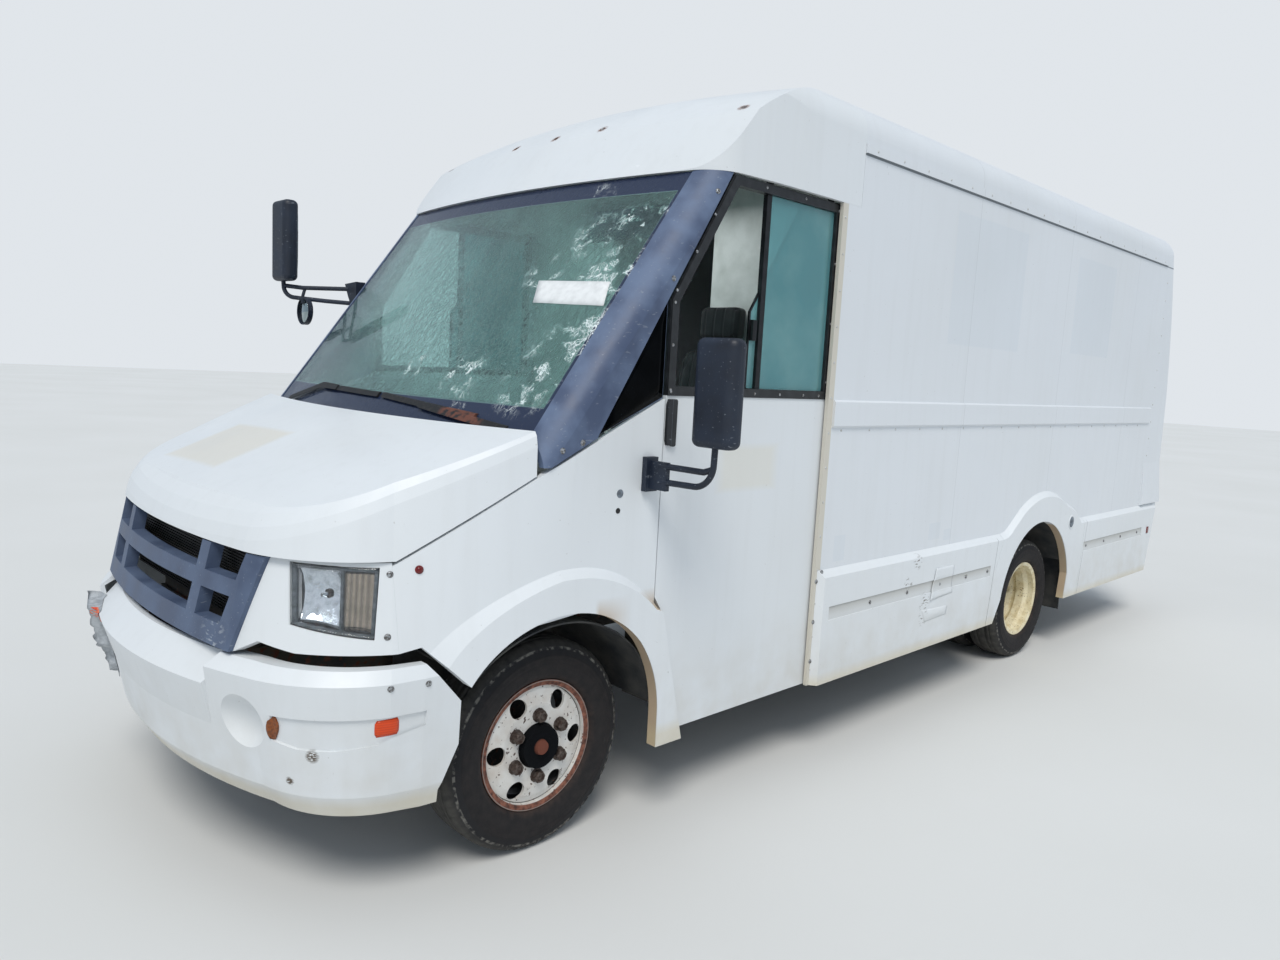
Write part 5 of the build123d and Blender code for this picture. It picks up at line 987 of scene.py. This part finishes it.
# Columns: name, x, half width, low, high of the bar and the pull on the rear door
for name, x, half, low, high in (("lock_bar", 0, 60, 900, 960), ("door_pull", 300, 30, 880, 1100)):
    near = [place(x + across, 5840, z) for across, z in
            ((-half, low), (half, low), (half, high), (-half, high))]
    far = [Vector((corner.x * 0.995, corner.y + 0.012, corner.z)) for corner in near]
    piece("rear_" + name, *slab(near, far), "chassis", plated, "bare_metal", smooth=False)

# Header panel over the rear door: a bent sheet that closes the box under the roof, painted with it,
# with three red clearance lamps riveted through it
crown = skin("rear_frame", place(0, 5700, 2760), (0, 0, 1))[0].z * 1000 - 2
# Columns: station, height of the bent sheet's rows, from its foot up under the crown
header_rows = [(5810, 2680), (5780, 2745), (5766, 2795), (5752, 2835), (5738, 2862), (5716, 2888),
               (5700, 2902)]
header_rows = [(station, z) for station, z in header_rows if z < crown - 6] + [(5700, crown)]
front, back = [], []
for station, z in header_rows:
    reach = skin("rear_frame", place(0, station - 40, z), (1, 0, 0))[0].x + 0.004
    for across in range(-10, 11):
        x = reach * across / 10
        front.append(Vector((x, place(0, station - 12, 0).y, z / 1000)))
        back.append(Vector((x, place(0, station - 16, 0).y, z / 1000)))
piece("rear_header", *sheet(front, back, 21), "chassis", sheet_paint, "white_paint")
clearance = turned([(0, -2), (22, -2), (22, 3), (18, 5), (17, 10), (11, 15), (0, 17)], 24)
repeat("clearance_lamps", [(place(x, 5764, 2790), (0, 1, 0.25)) for x in (-160, 0, 160)], clearance, red_lens,
       "chassis", "red_lens", smooth=True)

# Wheel liners: black polyethylene sheet, bent to the arches and bolted under them, where stones and
# road dirt reach it. It looks matt black, grey with dust and pitted
liner_sheet = clouded("polyethylene_sheet_dusty", "#26292d", "#4c4b47", 110, 0.35, 0.7, 14, 0.8,
                      Roughness=0.75)
paint(liner_sheet, "wheel_liners")

# Torn tape on the far end of the bumper: grey cloth tape over white, and an orange scrap, both stuck
# on the corner and hanging loose past it
# Cloth tape: silver grey, its threads drawn coarse at 7 mm so that they show
cloth_tape, shader, where = new_finish("tape_cloth_grey", Roughness=0.45, Metallic=0.2)
feed(shader, Base_Color=coats("#b7bcc0", (grain(where, 30, 0.4, 0.7), "#8b9095")))
relief(shader, grain(where, 7, 0.3, 0.7, stretch=(1, 1, 3)), 1.0)
# Orange film: bright, smooth, bleached in spots
orange_scrap = clouded("tape_film_orange", "#d8421c", "#f08050", 12, 0.4, 0.6, Roughness=0.4)
rough = random.Random(11)
eye = Vector((3.34, -4.44, 0))
off_corner = Vector((-0.70, -0.714, 0))
along_view = Vector((-0.714, 0.70, 0))
tape_rows, tape_columns = 26, 8
before_bumper = -3200
# Columns: name, top, foot, how far it hangs off the corner, and the finish
for name, top, foot, reach, finish in (("tape_cloth", 740, 445, 48, cloth_tape),
                                       ("tape_film", 712, 672, 26, orange_scrap)):
    front = []
    for row in range(tape_rows + 1):
        z = top + (foot - top) * row / tape_rows
        line = [skin("bumper", place(x, before_bumper, z), (0, 1, 0))[0] for x in range(-985, -400, 15)]
        corner = max(line, key=lambda spot: (spot - eye).dot(off_corner) / (spot - eye).dot(along_view))
        inner = skin("bumper", place(corner.x * 1000 + 70, before_bumper, z), (0, 1, 0))[0]
        loose = reach + rough.uniform(-7, 7) - 9 * math.sin(9 * row / tape_rows)
        for column in range(tape_columns + 1):
            part = column / tape_columns
            spot = inner.lerp(corner, min(1.0, part * 2)) + off_corner * loose / 1000 * max(0.0, part * 2 - 1)
            wrinkle = 3 * math.sin(row * 0.9 + column * 1.7)
            front.append(spot + Vector((0, -(5 + wrinkle * part) / 1000, 0)))
    back = [spot + Vector((0.0004, 0.0018, 0)) for spot in front]
    piece(name, *sheet(front, back, tape_columns + 1), "chassis", finish, "white_paint")

# Studio: a pale matt floor before a pale backdrop, soft daylight from above and the photograph's view
ground = clouded("studio_floor_pale", "#d9d9d6", "#dededc", 3000, 0.3, 0.7, Roughness=0.9)
reach = 60.0
floor_mesh = bpy.data.meshes.new("studio_floor")
floor_mesh.from_pydata([(-reach, -reach, 0), (reach, -reach, 0), (reach, reach, 0), (-reach, reach, 0)], [],
                       [(0, 1, 2, 3)])
dressed(floor_mesh, "studio_floor", None, ground, None, smooth=False)

world = bpy.data.worlds.new("daylight")
bpy.context.scene.world = world
world.use_nodes = True
sky = world.node_tree.nodes["Background"]
sky.inputs["Color"].default_value = colour("#dbe8f7")
sky.inputs["Strength"].default_value = 0.66
light = put(sky, "ShaderNodeLightPath").outputs
seen = either(light["Is Camera Ray"], light["Is Transmission Ray"])
backdrop = put(sky, "ShaderNodeBackground", {"Color": "#e6ebf0", "Strength": 0.95})
both = put(sky, "ShaderNodeMixShader", {0: seen, 1: sky.outputs[0], 2: backdrop.outputs[0]})
feed(world.node_tree.nodes["World Output"], Surface=both.outputs[0])

sun = bpy.data.lights.new("soft_sun", "SUN")
sun.energy = 1.9
sun.angle = math.radians(25)
sun.color = (1.0, 0.97, 0.92)
lamp = bpy.data.objects.new("soft_sun", sun)
lamp.rotation_euler = (math.radians(28), math.radians(22), math.radians(10))
bpy.context.scene.collection.objects.link(lamp)

# Daylight thrown up into the cab by the pale ground
fill = bpy.data.lights.new("cab_daylight", "AREA")
fill.energy = 8.0
fill.shape = "RECTANGLE"
fill.size, fill.size_y = 1.4, 0.7
fill.color = (0.9, 0.96, 1.0)
inside = bpy.data.objects.new("cab_daylight", fill)
inside.location = place(0, 930, 2500)
inside.visible_camera = inside.visible_transmission = inside.visible_glossy = False
bpy.context.scene.collection.objects.link(inside)

# The photograph's view: turn, dip and tilt of the camera in degrees, and its place in metres
yaw, pitch, roll = (math.radians(angle) for angle in (45.579, 7.104, 3.081))
ahead = Vector((-math.sin(yaw) * math.cos(pitch), math.cos(yaw) * math.cos(pitch), -math.sin(pitch)))
right = Vector((math.cos(yaw), math.sin(yaw), 0))
up = right.cross(ahead)
across = math.cos(roll) * right + math.sin(roll) * up
upright = -math.sin(roll) * right + math.cos(roll) * up
view = bpy.data.cameras.new("photograph_view")
view.sensor_width = 36.0
view.lens = 25.33
camera = bpy.data.objects.new("photograph_view", view)
bpy.context.scene.collection.objects.link(camera)
turned_so = Matrix((across, upright, -ahead)).transposed().to_4x4()
camera.matrix_world = Matrix.Translation((3.3397, -4.4419, 1.7221)) @ turned_so
bpy.context.scene.camera = camera
bpy.context.scene.view_settings.view_transform = "Standard"

bpy.context.view_layer.update()
